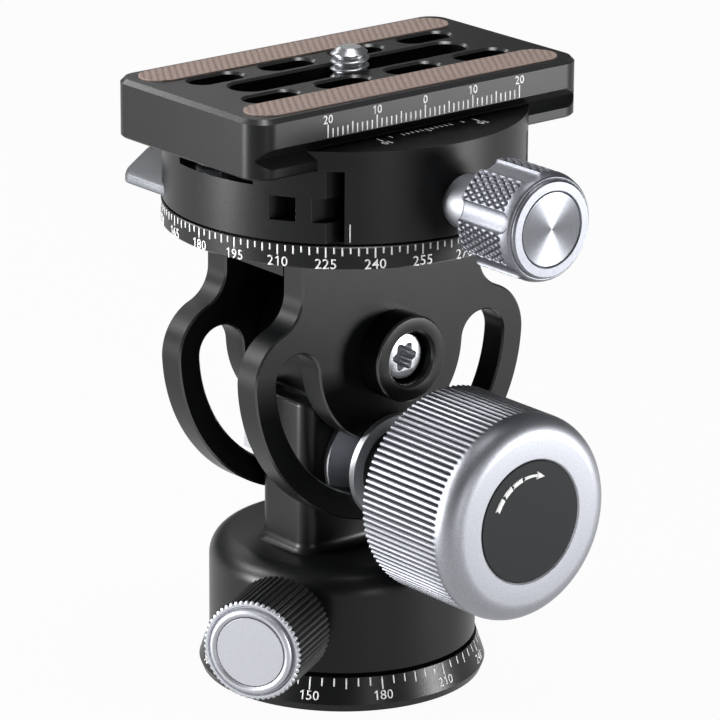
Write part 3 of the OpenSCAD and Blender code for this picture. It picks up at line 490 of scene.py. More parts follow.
eyeLoop = np.concatenate([neck, arc(0, s.eyeHeight, s.eyeRadius, eyeStart, 180 - eyeStart, 64)])
eyeLevels = brokenLevels(-s.eyeDeep / 2, s.eyeDeep / 2, s.eyeEdge)
stemParts += placed(prismParts([eyeLoop], eyeLevels), across)
buildPiece("stem_cast", stemParts, "stem", "black", blackAnodised, ("stem_base",))

# yoke: two cheeks with an arc slot each, joined by a web under the degree ring
yoke = Sizes(pivot=57.7, wing=28.5, slotMid=19.7, slotHalf=4.45, end=3.0, half=18.9, hollow=6.0, top=20.2,
             cheekIn=7.5, cheekOut=12.5, edge=0.3, webLow=73.03, bore=5.02)
y = yoke
end = y.end
endX = y.slotMid * math.cos(math.radians(end))
endZ = -y.slotMid * math.sin(math.radians(end))
endR = y.wing - y.slotMid
hollowX = y.half + y.hollow
hollowZ = endZ + math.sqrt((endR + y.hollow) ** 2 - (hollowX - endX) ** 2)
meet = math.degrees(math.atan2(hollowZ - endZ, hollowX - endX))
rightSide = np.concatenate([arc(endX, endZ, endR, -end, meet, 30),
                            arc(hollowX, hollowZ, y.hollow, meet + 180, 180, 16), [(y.half, y.top)]])
cheekLoop = tidyLoop(np.concatenate([arc(0, 0, y.wing, 180 + end, 360 - end, 120), rightSide,
                                     rightSide[::-1] * np.array([-1, 1])]))
slotOut, slotIn = y.slotMid + y.slotHalf, y.slotMid - y.slotHalf
arcSlot = tidyLoop(np.concatenate([arc(0, 0, slotOut, 180 + end, 360 - end, 100),
                                   arc(endX, endZ, y.slotHalf, -end, 180 - end, 24),
                                   arc(0, 0, slotIn, 360 - end, 180 + end, 80),
                                   arc(-endX, endZ, y.slotHalf, end, 180 + end, 24)]))
boreLoop = arc(0, 0, y.bore, 0, 352.5, 48)
yokeParts = []
for low in (-y.cheekOut, y.cheekIn):
    levels = brokenLevels(low, low + y.cheekOut - y.cheekIn, y.edge)
    yokeParts += placed(prismParts([cheekLoop, arcSlot, boreLoop], levels), across, (0, 0, y.pivot))
webLoop = np.array([(-1, -1), (1, -1), (1, 1), (-1, 1)]) * np.array([y.half, y.cheekIn])
yokeParts += prismParts([webLoop], [(0, y.webLow), (0, y.pivot + y.top)])
buildPiece("yoke_milled", yokeParts, "tilt_yoke", "black", blackAnodised, ("yoke",),
           rim=edgeFaces(1, 0.5, 0.9))

# pivot boss on the front cheek, and the six-lobe screw sunk in it
boss = Sizes(radius=7.3, rear=12.53, front=17.53, bore=4.45, edge=0.35, boreEdge=0.5, height=57.7)
b = boss
pivotPlace = (0, 0, b.height)
bossProfile = softCorners([(b.bore, b.rear), (b.bore, b.front - b.boreEdge), (b.bore + b.boreEdge, b.front),
                           (b.radius - b.edge, b.front), (b.radius, b.front - b.edge), (b.radius, b.rear)],
                          0.08, 3)
turnedPiece("pivot_boss", bossProfile, 128, forward, pivotPlace, "tilt_yoke", "black", blackAnodised,
            ("pivot_sleeve",), ring=True, rim=edgeFaces(1, 0.3, 0.95))
lobed = Sizes(headRadius=3.9, rear=12.63, front=15.63, lobes=6, lobeMid=2.05, lobeWave=0.34, floor=12.9,
              headEdge=0.6, lobeEdge=0.12)
headLoop = arc(0, 0, lobed.headRadius, 0, 354, 60)
lobeAngle = np.arange(120) * fullTurn / 120
lobeRadius = lobed.lobeMid + lobed.lobeWave * np.cos(lobed.lobes * lobeAngle)
lobeLoop = polar(lobeRadius, lobeAngle, lobeAngle)[:, :2]
front, headEdge, lobeEdge = lobed.front, lobed.headEdge, lobed.lobeEdge
headLevels = [(0, lobed.rear), (0, front - headEdge), (0.2, front - 0.15), (headEdge, front)]
lobedParts = [wallPart(headLoop, headLevels),
              wallPart(lobeLoop, holeLevels(lobed.floor, front, lobeEdge), True),
              facePart([headLoop - headEdge * miter(headLoop), lobeLoop + lobeEdge * miter(lobeLoop)],
                       front),
              facePart([lobeLoop], lobed.floor), facePart([headLoop], lobed.rear)]
buildPiece("pivot_screw_lobed", placed(lobedParts, forward, pivotPlace), "tilt_yoke", "steel", steel,
           ("pivot_screw",))
print("stem, yoke and pivot made")

# degree ring under the clamp: a plain disc with broken edges, its scale on the rim
ring = Sizes(radius=30.1, low=77.92, top=81.6, edge=0.2, shortTick=1.0, midTick=1.35, longTick=1.7,
             tickDown=0.1, stroke=0.27, letters=1.62, lettersDown=2.7, weight=0.004)
r = ring
ringProfile = [(0, r.low), (r.radius - r.edge, r.low), (r.radius, r.low + r.edge),
               (r.radius, r.top - r.edge), (r.radius - r.edge, r.top), (0, r.top)]
turnedPiece("degree_ring_turned", ringProfile, 240, upright, (0, 0, 0), "tilt_yoke", "black", blackAnodised,
            ("degree_ring",), rim=edgeFaces(2, 0.5, 0.9))
ringDegrees = np.arange(0, 360, 2.5)
ringAlong = np.radians(ringDegrees) * r.radius
ringMarks = [strokes(ringAlong, r.stroke, -tickLengths(ringDegrees, (15, 5), r), 0)]
for d in range(0, 360, 15):
    ringMarks += numeral(str(d), r.letters, math.radians(d) * r.radius, -r.lettersDown, r.weight)
ringMarks = marksOn(ringMarks, onCylinder(r.radius, r.top - r.tickDown))
buildPiece("degree_ring_scale", ringMarks, "tilt_yoke", None, laserWhite, flat=True)

# scale on the base ring's sloping rim
baseScale = Sizes(lowRadius=24.1, lowHeight=1.3, topRadius=22.65, topHeight=5.6, midRadius=23.4, turn=67.4,
                  shortTick=1.35, midTick=1.75, longTick=2.05, tickDown=0.1, stroke=0.24, letters=1.55,
                  lettersDown=3.1, weight=0.0)
b = baseScale
slopeRun = b.lowRadius - b.topRadius
slopeDrop = b.topHeight - b.lowHeight
slopeLength = math.hypot(slopeRun, slopeDrop)


# lengths round the rim's middle and down its slope, on a cone
def slopeSurface(u, v):
    radius = baseScale.topRadius - v / slopeLength * slopeRun + lift
    return polar(radius, u / baseScale.midRadius, baseScale.topHeight + v / slopeLength * slopeDrop)


baseDegrees = np.arange(0, 360, 5)
baseAlong = np.radians(baseDegrees + b.turn) * b.midRadius
baseFeet = -tickLengths(baseDegrees, (30, 15), b) - b.tickDown
baseMarks = [strokes(baseAlong, b.stroke, baseFeet, -b.tickDown)]
for d in range(0, 360, 30):
    along = math.radians(d + b.turn) * b.midRadius
    baseMarks += numeral(str(d), b.letters, along, -b.lettersDown, b.weight)
buildPiece("base_ring_scale", marksOn(baseMarks, slopeSurface), "base", None, laserWhite, flat=True)
print("rings and scales made")


# the part of a round column that stands on an outline in Y and Z: the outline is a chequer of filled cells,
# carried across X to the column's wall on both sides; a lip is a cell whose lower side slopes; openWall
# leaves wall cells out
def crossCut(radius, ys, zs, filled, lip=None, openWall=()):
    ys, zs, filled = np.asarray(ys, float), np.asarray(zs, float), np.asarray(filled, bool)
    widest = math.radians(2.2)
    t = np.arcsin(np.clip(ys / radius, -1, 1))
    counts = np.maximum(np.ceil(np.diff(t) / widest).astype(int), 1)
    spans = [np.linspace(t[i], t[i + 1], n, endpoint=False) for i, n in enumerate(counts)]
    fine = np.concatenate(spans + [t[-1:]])
    owner = np.repeat(np.arange(len(counts)), counts)
    y, x = radius * np.sin(fine), radius * np.cos(fine)
    cells = filled[owner]
    z = np.broadcast_to(zs, (len(y), len(zs))).copy()
    if lip:
        inLip = np.nonzero((y >= ys[lip["column"]] - nearly) & (y <= ys[lip["column"] + 1] + nearly))[0]
        z[inLip, lip["row"]] = lip["start"] + lip["slope"] * (y[inLip] - lip["from"])
    yy = np.broadcast_to(y[:, None], z.shape)
    xx = np.broadcast_to(x[:, None], z.shape)
    points = np.stack([np.stack([side * xx, yy, z], 2) for side in (-1, 1)])
    index = np.arange(points[..., 0].size).reshape(points.shape[:3])
    faces = []
    for side in (0, 1):
        wall = cells.copy()
        for s, column, row in openWall:
            wall[owner == column, row] &= s != side
        i, j = np.nonzero(wall)
        n = index[side]
        faces.append(np.stack([n[i, j], n[i + 1, j], n[i + 1, j + 1], n[i, j + 1]], 1))
    i, j = np.nonzero(np.diff(np.pad(cells.astype(int), ((0, 0), (1, 1))), axis=1))
    faces.append(np.stack([index[0][i, j], index[0][i + 1, j], index[1][i + 1, j], index[1][i, j]], 1))
    i, j = np.nonzero(np.diff(np.pad(cells.astype(int), ((1, 1), (0, 0))), axis=0))
    faces.append(np.stack([index[0][i, j], index[0][i, j + 1], index[1][i, j + 1], index[1][i, j]], 1))
    return (points.reshape(-1, 3), faces), y, x, owner


# a pocket sunk from a line of points on a wall to a line behind it, between two heights, with closed ends
def pocketParts(outer, inner, low, high):
    corners = ((outer, low), (inner, low), (inner, high), (outer, high))
    grid = np.stack([np.column_stack([line, np.full(len(line), h)]) for line, h in corners])
    ends = [(grid[:, k], [np.array([[0, 1, 2, 3]])]) for k in (0, -1)]
    return [gridPart(grid, False)] + ends


# clamp: the fixed half with its channel, rear lip, side windows and the lever's slot
clamp = Sizes(radius=29.9, low=82.03, split=-21.1, band=-19.4, windowFront=-17.4, windowBack=-13.5,
              channelFront=-11.0, channelBack=6.2, lipTip=16.46, lipRoot=17.93, bandLow=85.4, bandHigh=89.4,
              floor=90.7, ledge=93.85, groove=95.61, top=97.08, windowDeep=22.5, leverLow=82.52,
              leverHigh=84.77, leverRoom=19.3, leverFront=14.72, leverBack=29.25, edge=0.2)
c = clamp
ys = [c.split, c.band, c.windowFront, c.windowBack, c.channelFront, c.channelBack, c.leverFront, c.lipTip,
      c.lipRoot, c.leverBack, c.radius]
zs = [c.low, c.leverLow, c.leverHigh, c.bandLow, c.bandHigh, c.floor, c.ledge, c.groove, c.top]
# which cells are filled, from the foot up: the split's strip, plain strips, the channel, the lip, the rear
plain = [1, 1, 1, 1, 1, 1, 0, 0]
filled = [[1, 1, 1, 0, 1, 1, 0, 0], plain, plain, plain, [1, 1, 1, 1, 1, 0, 0, 0], plain, plain,
          [1, 1, 1, 1, 1, 1, 0, 1], [1] * 8, [1] * 8]
lip = {"column": 7, "row": 7, "start": c.top, "slope": -1.0, "from": c.lipTip}
openWall = [(0, 2, 3), (1, 2, 3), (0, 6, 1), (0, 7, 1), (0, 8, 1), (0, 9, 1), (1, 9, 1)]
shell, y, x, owner = crossCut(c.radius, ys, zs, filled, lip, openWall)
clampParts = [shell]
window = np.nonzero(owner == 2)[0]
window = np.append(window, window[-1] + 1)
for side in (-1, 1):
    outer = np.stack([side * x[window], y[window]], 1)
    inner = np.stack([np.full(len(window), side * c.windowDeep), y[window]], 1)
    clampParts += pocketParts(outer, inner, c.bandLow, c.bandHigh)
leftWay = np.nonzero(y >= c.leverFront - nearly)[0]
rightWay = np.nonzero(y >= c.leverBack - nearly)[0][::-1][1:]
way = np.concatenate([np.stack([-x[leftWay], y[leftWay]], 1), np.stack([x[rightWay], y[rightWay]], 1)])
clampParts += pocketParts(way, way * c.leverRoom / c.radius, c.leverLow, c.leverHigh)
buildPiece("clamp_milled", clampParts, "clamp", "black", blackAnodised, ("clamp_body",), sharp=20,
           edge=c.edge)

# moving jaw: the front slice of the same column, with its lip over the plate's flange
jaw = Sizes(back=-23.1, flange=-20.13, lipTip=-18.66, under=93.88, edge=0.2)
jawFilled = [[1, 1, 1], [0, 1, 1], [0, 0, 1]]
jawLip = {"column": 2, "row": 2, "start": c.groove, "slope": 1.0, "from": jaw.flange}
jawShell = crossCut(c.radius, [-c.radius, jaw.back, jaw.flange, jaw.lipTip],
                    [c.low, jaw.under, c.groove, c.top], jawFilled, jawLip)[0]
buildPiece("jaw_milled", [jawShell], "jaw", "black", blackAnodised, ("moving_jaw",), sharp=20,
           edge=jaw.edge)

# vernier on the jaw's top, read from the back, and the index stroke low on its wall
vernier = Sizes(foot=-20.0, short=-21.0, long=-21.7, stroke=0.2, letters=1.45, lettersAt=-22.75,
                index=232.3, indexTop=85.3, indexLow=82.3)
vernierX = np.array([-10, -7.5, -5, -4, -3, -2, -1, 0, 1, 2, 3, 4, 5, 7.5, 10])
vernierEnd = np.where(np.isin(vernierX, (-10, 0, 10)), vernier.long, vernier.short)
vernierMarks = [strokes(vernierX, vernier.stroke, vernierEnd, vernier.foot)]
for side in (-1, 1):
    vernierMarks += numeral("10", vernier.letters, side * 10, vernier.lettersAt, upsideDown=True)
jawMarks = marksOn(vernierMarks, lambda u, v: np.stack([u, v, np.full(len(u), c.top + lift)], 1))
indexTurn = math.radians(vernier.index) * c.radius
jawMarks += marksOn([strokes(indexTurn, vernier.stroke, vernier.indexLow, vernier.indexTop)],
                    onCylinder(c.radius))
buildPiece("jaw_scale", jawMarks, "jaw", None, laserWhite, flat=True)

# pan lever: a flat arm from its pivot out of the clamp's rear left, and the knurled screw head above it
lever = Sizes(pivot=(-24.0, 2.31), low=82.72, high=84.57, lowRound=0.4, topRound=0.8, corners=0.9,
              headRadius=3.8, headLow=90.73, headHigh=93.68, teeth=36, tooth=0.18, skin=0.02)
leverLine = np.array([(-2.9, 0), (-1.5, -2.7), (1.5, -2.7), (2.9, 0), (3.6, 12), (8.6, 24), (12.2, 31.4),
                      (10.6, 33.5), (0.1, 25.3), (-2.3, 22.6), (-2.3, 12.9)])
leverLoop = tidyLoop(softCorners(np.concatenate([leverLine, leverLine[:1]]), lever.corners, 5))
leverLoop = leverLoop + np.array(lever.pivot)
leverLevels = roundLevels(lever.low, lever.high, lever.lowRound, lever.topRound)
buildPiece("pan_lever_arm", prismParts([leverLoop], leverLevels), "lever", "silver", leverGrey,
           ("pan_lever",))


# a straight knurl: the radius drops to the root between teeth, on what lies within the skin of the full size
def headShape(radius, angle, height):
    root = lever.tooth * np.clip(1.6 * toothWave(angle, lever.teeth) - 0.5, 0, 1)
    return radius - np.where(radius > lever.headRadius - lever.skin, root, 0)


r = lever.headRadius
headProfile = [(0, lever.headLow), (r - 0.3, lever.headLow), (r, lever.headLow + 0.25),
               (r, lever.headHigh - 0.35), (r - 0.35, lever.headHigh), (0, lever.headHigh)]
turnedPiece("lever_screw_head", headProfile, lever.teeth * 8, upright, (*lever.pivot, 0), "clamp",
            "silver", turnedSilver, ("lever_pivot_screw",), shape=headShape)
print("clamp, jaw and lever made")

# quick-release plate: a rounded block with a groove along each long side, slots, and pockets for the strips
plate = Sizes(long=68.4, wide=38.0, corner=4.0, middle=-1.1, low=93.88, top=103.58, lowEdge=0.3,
              topEdge=0.7, groove=95.58, grooveDeep=1.625, slotEdge=0.4, longSlot=48.0, longWide=6.65,
              recess=53.65, recessWide=12.0, recessTop=97.64, shortSlot=10.2, shortWide=4.6, pitch=14.6,
              row=7.15, stripLong=63.4, stripWide=7.2, stripAt=13.65, stripFloor=103.03, stripRoom=0.08,
              stripEdge=0.05)
p = plate
plateLoop = tidyLoop(boxLoop(p.long, p.wide, p.corner, 28))
grooveMid = p.groove + p.grooveDeep
grooveRows = np.concatenate([np.linspace(p.groove, grooveMid, 8),
                             np.linspace(grooveMid, grooveMid + p.grooveDeep, 8)[1:]])
plateLevels = np.concatenate([[(p.lowEdge, p.low), (0, p.low + p.lowEdge)],
                              np.stack([np.zeros(len(grooveRows)), grooveRows], 1),
                              [(0, p.top - p.topEdge), (p.topEdge, p.top)]])
outerWall, outerFaces = wallPart(plateLoop, plateLevels)
# the side wall is held inside the groove's two sloping planes
deep = np.clip(p.grooveDeep - np.abs(outerWall[:, 2] - grooveMid), 0, None)
outerWall[:, 1] = np.clip(outerWall[:, 1], deep - p.wide / 2, p.wide / 2 - deep)

# under the recess's ceiling the short slots run into the recess, so the outlines are cut where they cross
recessHalf = p.recessWide / 2
tipRadius = p.shortWide / 2
leave = math.degrees(math.asin((recessHalf - p.row) / tipRadius))
turnAt = math.degrees(math.asin((p.row - tipRadius) / recessHalf))


# an arc at one end of a short slot in the row, from the left (0 to 3)
def slotTip(i, side, start, end):
    x = (i - 1.5) * p.pitch + side * (p.shortSlot / 2 - tipRadius)
    return arc(x, p.row, tipRadius, start, end, 3 + int(abs(end - start) // 13))


rightEnd = arc(p.recess / 2 - recessHalf, 0, recessHalf, 0, turnAt, 9)
leftEnd = rightEnd[::-1] * (-1, 1)
starts = [leave, leave, leave, -90]
stops = [270, 180 - leave, 180 - leave, 180 - leave]
outers = [np.concatenate([slotTip(i, 1, starts[i], 90), slotTip(i, -1, 90, stops[i])]) for i in range(4)]
inners = [np.concatenate([slotTip(i, -1, stops[i], 270), slotTip(i, 1, -90, starts[i])]) for i in (1, 2)]
inners = [np.concatenate([leftEnd[:1], slotTip(0, 1, -90, leave)])] + inners
inners.append(np.concatenate([slotTip(3, -1, 180 - leave, 270), rightEnd[-1:]]))
hollowSide = np.concatenate([rightEnd] + outers[::-1] + [leftEnd])
ceilingSide = np.concatenate([rightEnd] + [inner[::-1] for inner in inners[::-1]] + [leftEnd])
hollowLoop = tidyLoop(np.concatenate([hollowSide, -hollowSide]))
ceilingLoop = tidyLoop(np.concatenate([ceilingSide, -ceilingSide]))
longLoop = tidyLoop(slotLoop(p.longSlot, p.longWide))
shortLoops = [tidyLoop(s * np.concatenate([outers[i], inners[i]])) for i in range(4) for s in (-1, 1)]
stripSize = p.stripLong + p.stripRoom, p.stripWide + p.stripRoom
stripLoops = [tidyLoop(slotLoop(*stripSize, s * p.stripAt)) for s in (-1, 1)]
slotLevels = holeLevels(p.recessTop, p.top, p.slotEdge)
stripLevels = holeLevels(p.stripFloor, p.top, p.stripEdge)
plateParts = [(outerWall, outerFaces)]
plateParts += [wallPart(loop, slotLevels, True) for loop in shortLoops + [longLoop]]
plateParts += [wallPart(hollowLoop, [(0, p.low), (0, p.recessTop)], True),
               facePart([ceilingLoop, longLoop], p.recessTop)]
plateParts += [wallPart(loop, stripLevels, True) for loop in stripLoops]
plateParts += [facePart([loop], p.stripFloor) for loop in stripLoops]
topLoops = [plateLoop - p.topEdge * miter(plateLoop)]
topLoops += [loop + p.slotEdge * miter(loop) for loop in [longLoop] + shortLoops]
topLoops += [loop + p.stripEdge * miter(loop) for loop in stripLoops]
lowLoops = [plateLoop - p.lowEdge * miter(plateLoop), hollowLoop]
plateParts += [facePart(topLoops, p.top), facePart(lowLoops, p.low)]
topEdge = edgeFaces(2, 0.5, 0.9)
buildPiece("plate_milled", placed(plateParts, upright, (0, p.middle, 0)), "plate", "black",
           blackAnodised, ("qr_plate",), rim=lambda n, q: topEdge(n, q) & (q[:, 2] > p.top - p.topEdge))

# millimetre scale on the plate's front
scale = Sizes(foot=98.95, shortTick=1.45, midTick=1.9, longTick=2.15, stroke=0.26, letters=1.4,
              lettersAt=101.95)
scaleX = np.arange(-20, 21)
scaleTop = scale.foot + tickLengths(scaleX, (10, 5), scale)
scaleMarks = [strokes(scaleX, scale.stroke, scale.foot, scaleTop)]
for n in (-20, -10, 0, 10, 20):
    scaleMarks += numeral(str(abs(n)), scale.letters, n, scale.lettersAt)
plateFront = p.middle - p.wide / 2 - lift
scaleMarks = marksOn(scaleMarks, lambda u, v: np.stack([u, np.full(len(u), plateFront), v], 1))
buildPiece("plate_scale", scaleMarks, "plate", None, laserWhite, flat=True)

# grip strips: a slot-shaped pad whose top is a field of small pits in staggered rows
strip = Sizes(along=1.3, acrossPitch=2.0, proud=0.22, base=0.02, footGap=0.01, rows=560, cols=56)


# 1 at the middle of a pit, 0 between the pits
def pitDepth(x, y):
    a = np.cos(fullTurn * (x / strip.along + y / strip.acrossPitch))
    b = np.cos(fullTurn * (x / strip.along - y / strip.acrossPitch))
    return np.clip((a + b) * 0.8 - 0.45, 0, 1)


# the pad's width is the slot's chord at each place along it, its height drops in each pit
def gripStrip(name, side, node):
    half, endHalf = p.stripLong / 2, p.stripWide / 2
    s = np.linspace(-half, half, strip.rows)[:, None]
    t = np.linspace(-1, 1, strip.cols)[None, :]
    cap = np.clip(np.abs(s) - (half - endHalf), 0, endHalf)
    wide = np.sqrt(np.maximum(endHalf ** 2 - cap ** 2, 1e-8))
    gx, gy = np.broadcast_to(s, (strip.rows, strip.cols)), wide * t
    height = p.top + strip.base + strip.proud * (1 - pitDepth(gx, gy))
    top = np.stack([gx, gy, height], 2)
    foot = top[:, [0, -1]].copy()
    foot[:, :, 2] = p.stripFloor + strip.footGap
    grid = np.concatenate([foot[:, :1], top, foot[:, 1:]], 1)
    middle = p.middle + side * p.stripAt
    parts = placed([gridPart(grid)], upright, (0, middle, 0))
    # the pits' depth also darkens the rubber to its groove colour: painted shade in the pits
    buildPiece(name, parts, "plate", "rubber", brownRubber, (node,), sharp=50,
               cut=lambda q: pitDepth(q[:, 0], q[:, 1] - middle))


gripStrip("front_strip_diamond", -1, "front_grip_strip")
gripStrip("rear_strip_diamond", 1, "rear_grip_strip")

# camera screw: a V thread of one pitch per turn, chamfered at the top, on a plain shank with a flat head
thread = Sizes(radius=3.175, deep=0.68, pitch=1.27, low=98.2, top=106.88, tip=1.85, runIn=0.8, shank=2.6,
               headRadius=5.5, headEdge=0.3, headLow=94.58, headHigh=96.98)
h = thread


# a V crest in each pitch, held under the cone of the tip, growing out of the shank over the run-in
def threadContour(place, height):
    crest = np.clip(1.28 - 1.5 * np.abs(2 * place - 1), 0, 1)
    cut = h.radius - h.deep * (1 - crest)
    cut = np.minimum(cut, h.tip + 1.4 * (h.top - height))
    return h.shank + (cut - h.shank) * rise(height - h.low, h.runIn)


screwProfile = [(0, h.headLow), (h.headRadius - h.headEdge, h.headLow),
                (h.headRadius, h.headLow + h.headEdge), (h.headRadius, h.headHigh),
                (h.shank, h.headHigh), (h.shank, h.low)]
screwParts = [turnedPart(screwProfile, 72), turnedPart([(h.tip, h.top), (0, h.top)], 72),
              helixPart(threadContour, h.pitch, h.low, h.top, 72)]
buildPiece("camera_screw_thread", placed(screwParts, upright, (0, p.middle, 0)), "camera_bolt", "steel",
           steel, ("camera_screw",))
print("plate, strips and camera screw made")

# tilt knob: a straight-knurled drum with a rolled front, and a label disc in its face
knob = Sizes(radius=17.2, rear=25.41, face=47.11, roll=3.5, disc=10.13, discDeep=0.8, hub=7.05, hubDeep=5,
             height=38.0, grooves=100, groove=0.5, knurlEnd=43.0, skin=1.0)
k = knob
knobPlace = (0, 0, k.height)


# V grooves that run along the drum and fade out where the roll begins
def drumShape(radius, angle, height):
    valley = rise(toothWave(angle, k.grooves) - 0.35, 0.65)
    reach = rise(k.knurlEnd + 0.5 - height, 0.6)
    return radius - np.where(radius > k.radius - k.skin, k.groove * valley * reach, 0)


# how far a place on the drum lies inside its full radius, as a share of a groove's depth; it sets the
# painted shade in the drum's grooves
def drumShade(q):
    inside = rise(k.radius - np.hypot(q[:, 0], q[:, 2] - k.height), k.groove)
    return inside * ((q[:, 1] < -k.rear - 0.4) & (q[:, 1] > -k.knurlEnd - 0.3))


discFloor = k.face - k.discDeep
knobProfile = np.concatenate([
    [(k.hub, k.face - k.hubDeep), (k.hub, k.rear), (k.radius - 0.7, k.rear), (k.radius, k.rear + 0.5)],
    np.stack([np.full(4, k.radius), np.linspace(k.rear + 2, k.knurlEnd - 0.1, 4)], 1),
    [(k.radius, k.knurlEnd + 0.2)],
    arc(k.radius - k.roll, k.face - k.roll, k.roll, 0, 90, 14),
    [(k.disc + 0.35, k.face), (k.disc + 0.08, k.face - 0.2), (k.disc + 0.05, discFloor),
     (0, discFloor), (0, k.face - k.hubDeep)]])
# the drum's grooves take a painted shade by their depth
turnedPiece("tilt_knob_drum", knobProfile, k.grooves * 10, forward, knobPlace, "tilt_lock_knob",
            "silver", silverAnodised, ("tilt_knob",), shape=drumShape, ring=True, cut=drumShade)
discProfile = [(0, discFloor + 0.05), (k.disc, discFloor + 0.05), (k.disc, k.face - 0.14),
               (k.disc - 0.12, k.face - 0.06), (0, k.face - 0.06)]
turnedPiece("tilt_knob_label", discProfile, 120, forward, knobPlace, "tilt_lock_knob", "disc", labelFilm,
            ("tilt_knob_disc",))

# a plain broken arrow that shows the turning direction: dashes that thin towards the head
arrow = Sizes(radius=7.7, headAt=81.3, tip=68.3, head=1.4, notch=2.5, height=k.face - 0.04,
              dashes=[(157, 139, 1.0, 1.0), (137, 121.7, 0.95, 0.95), (120.5, 104, 0.8, 0.8),
                      (102, 81, 0.6, 0.4)])


# points of the arrow from their radii and angles
def arrowPoints(radius, angle):
    return polar(radius, angle, np.full(len(angle), arrow.height))


# one dash: three lines along an arc, the middle one started earlier by the notch
def bentStrip(start, end, startWide, endWide):
    share = np.linspace(0, 1, 9)
    mid = np.radians(start - arrow.notch + (end - start + arrow.notch) * share)
    edge = np.radians(start + (end - start) * share)
    half = (startWide + (endWide - startWide) * share) / 2
    rows = [(half, edge), (0, mid), (-half, edge)]
    return gridPart(np.stack([arrowPoints(arrow.radius + aside, angle) for aside, angle in rows]), False)


arrowParts = [bentStrip(*dash) for dash in arrow.dashes]
headAngle = np.radians([arrow.headAt, arrow.tip, arrow.headAt])
headRadius = arrow.radius + np.array([arrow.head / 2, 0, -arrow.head / 2])
arrowParts.append((arrowPoints(headRadius, headAngle), [np.array([[0, 2, 1]])]))
buildPiece("tilt_knob_arrow", placed(arrowParts, forward, knobPlace), "tilt_lock_knob", None, laserWhite,
           flat=True)

# clamp knob: six smooth flutes between six diamond-knurled lands, a plain front rim, a collar, a spun disc
grip = Sizes(radius=8.9, bore=3.1, boreDeep=3.6, collarRadius=4.5, collar=30.03, rear=38.13, face=50.78,
             disc=6.02, discDeep=0.8, height=87.4, around=48, along=1.9, diamond=0.4, sharpness=1.9,
             fluteTurn=60.0, fluteDeep=0.85, fluteHalf=11.5, fluteEnd=1.0, fluteRound=1.7, rim=2.0,
             turn=16.5, skin=0.6)
g = grip
gripPlace = (0, 0, g.height)
gripEnd = g.face - g.rim


# degrees from the middle of the nearest flute
def fluteOffset(angle):
    return ((np.degrees(angle) - g.turn) % g.fluteTurn) - g.fluteTurn / 2


# lands carry two crossing sets of V grooves: 1 at a groove's root, 0 on a diamond's top and off the lands
def gripCut(angle, height):
    land = rise(np.abs(fluteOffset(angle)) - g.fluteHalf - 0.5, 1.5)
    land = land * rise(gripEnd - 0.2 - height, 0.25) * rise(height - g.rear - 0.6, 0.2)
    a = (angle * g.around / fullTurn + height / g.along) % 1.0
    b = (angle * g.around / fullTurn - height / g.along) % 1.0
    top = np.minimum(1 - np.abs(2 * a - 1), 1 - np.abs(2 * b - 1))
    return land * (1 - np.clip(g.sharpness * top, 0, 1))


# flutes are round hollows with a round end just behind the rim
def gripShape(radius, angle, height):
    pastEnd = np.clip(height - g.face + g.fluteEnd + g.fluteRound, 0, None) / g.fluteRound
    hollow = np.clip(1 - (fluteOffset(angle) / g.fluteHalf) ** 2 - pastEnd ** 2, 0, 1)
    full = (radius > g.radius - g.skin) & (height < g.face - 0.9)
    depth = g.fluteDeep * np.sqrt(hollow) + g.diamond * gripCut(angle, height)
    return radius - np.where(full, depth, 0)


# the knurl's depth at each place on the grip's outside, which sets the painted shade in the knurl's cuts
def gripShade(q):
    x, z = q[:, 0], q[:, 2] - g.height
    return np.where(np.hypot(x, z) > g.radius - g.skin, gripCut(np.arctan2(z, x), -q[:, 1]), 0)


# the front of the grip falls off towards the rim as the square of the distance
gripRows = np.linspace(g.rear + 0.6, g.face - 0.95, 100)
gripRadii = g.radius - 0.4 * rise(gripRows - g.face + 2.6, 1.7) ** 2
discFloor = g.face - g.discDeep
rimDrops = [(0.42, 0.88), (0.72, 0.6), (0.92, 0.72), (1.0, 0.3), (1.3, 0)]
gripProfile = np.concatenate([
    [(g.bore, g.face - g.boreDeep), (g.bore, g.rear), (g.radius - 0.5, g.rear),
     (g.radius - 0.1, g.rear + 0.3)],
    np.stack([gripRadii, gripRows], 1),
    softCorners([(g.radius - inset, g.face - drop) for inset, drop in rimDrops], 0.14, 4),
    [(g.disc + 0.25, g.face), (g.disc + 0.08, g.face - 0.2), (g.disc + 0.05, discFloor),
     (0, discFloor), (0, g.face - g.boreDeep)]])
turnedPiece("clamp_knob_grip", gripProfile, g.around * 12, forward, gripPlace, "jaw_knob", "silver",
            turnedSilver, ("clamp_knob",), shape=gripShape, ring=True, cut=gripShade)
# the collar is drawn paler than the grip it is one piece with: a painted highlight
collarTop, collarEdge = g.rear + 0.1, 0.2
collarProfile = [(g.bore, collarTop), (g.bore, g.collar), (g.collarRadius - collarEdge, g.collar),
                 (g.collarRadius, g.collar + collarEdge), (g.collarRadius, collarTop)]
turnedPiece("clamp_knob_collar", collarProfile, 96, forward, gripPlace, "jaw_knob", "silver", discSilverAndCollarHighlight,
            ("clamp_knob",), ring=True)
spunFace = g.face - 0.1
spunRows = [(0, g.face - 0.75), (g.disc, g.face - 0.75), (g.disc, g.face - 0.2),
            (g.disc - 0.12, spunFace)]
spunRows += [(radius, spunFace) for radius in np.append(np.linspace(5.8, 0.02, 8), 0)]
spunDisc = turnedPiece("clamp_knob_spun", spunRows, 96, forward, gripPlace, "jaw_knob", "silver",
                       spunSilver, ("clamp_knob_disc",))


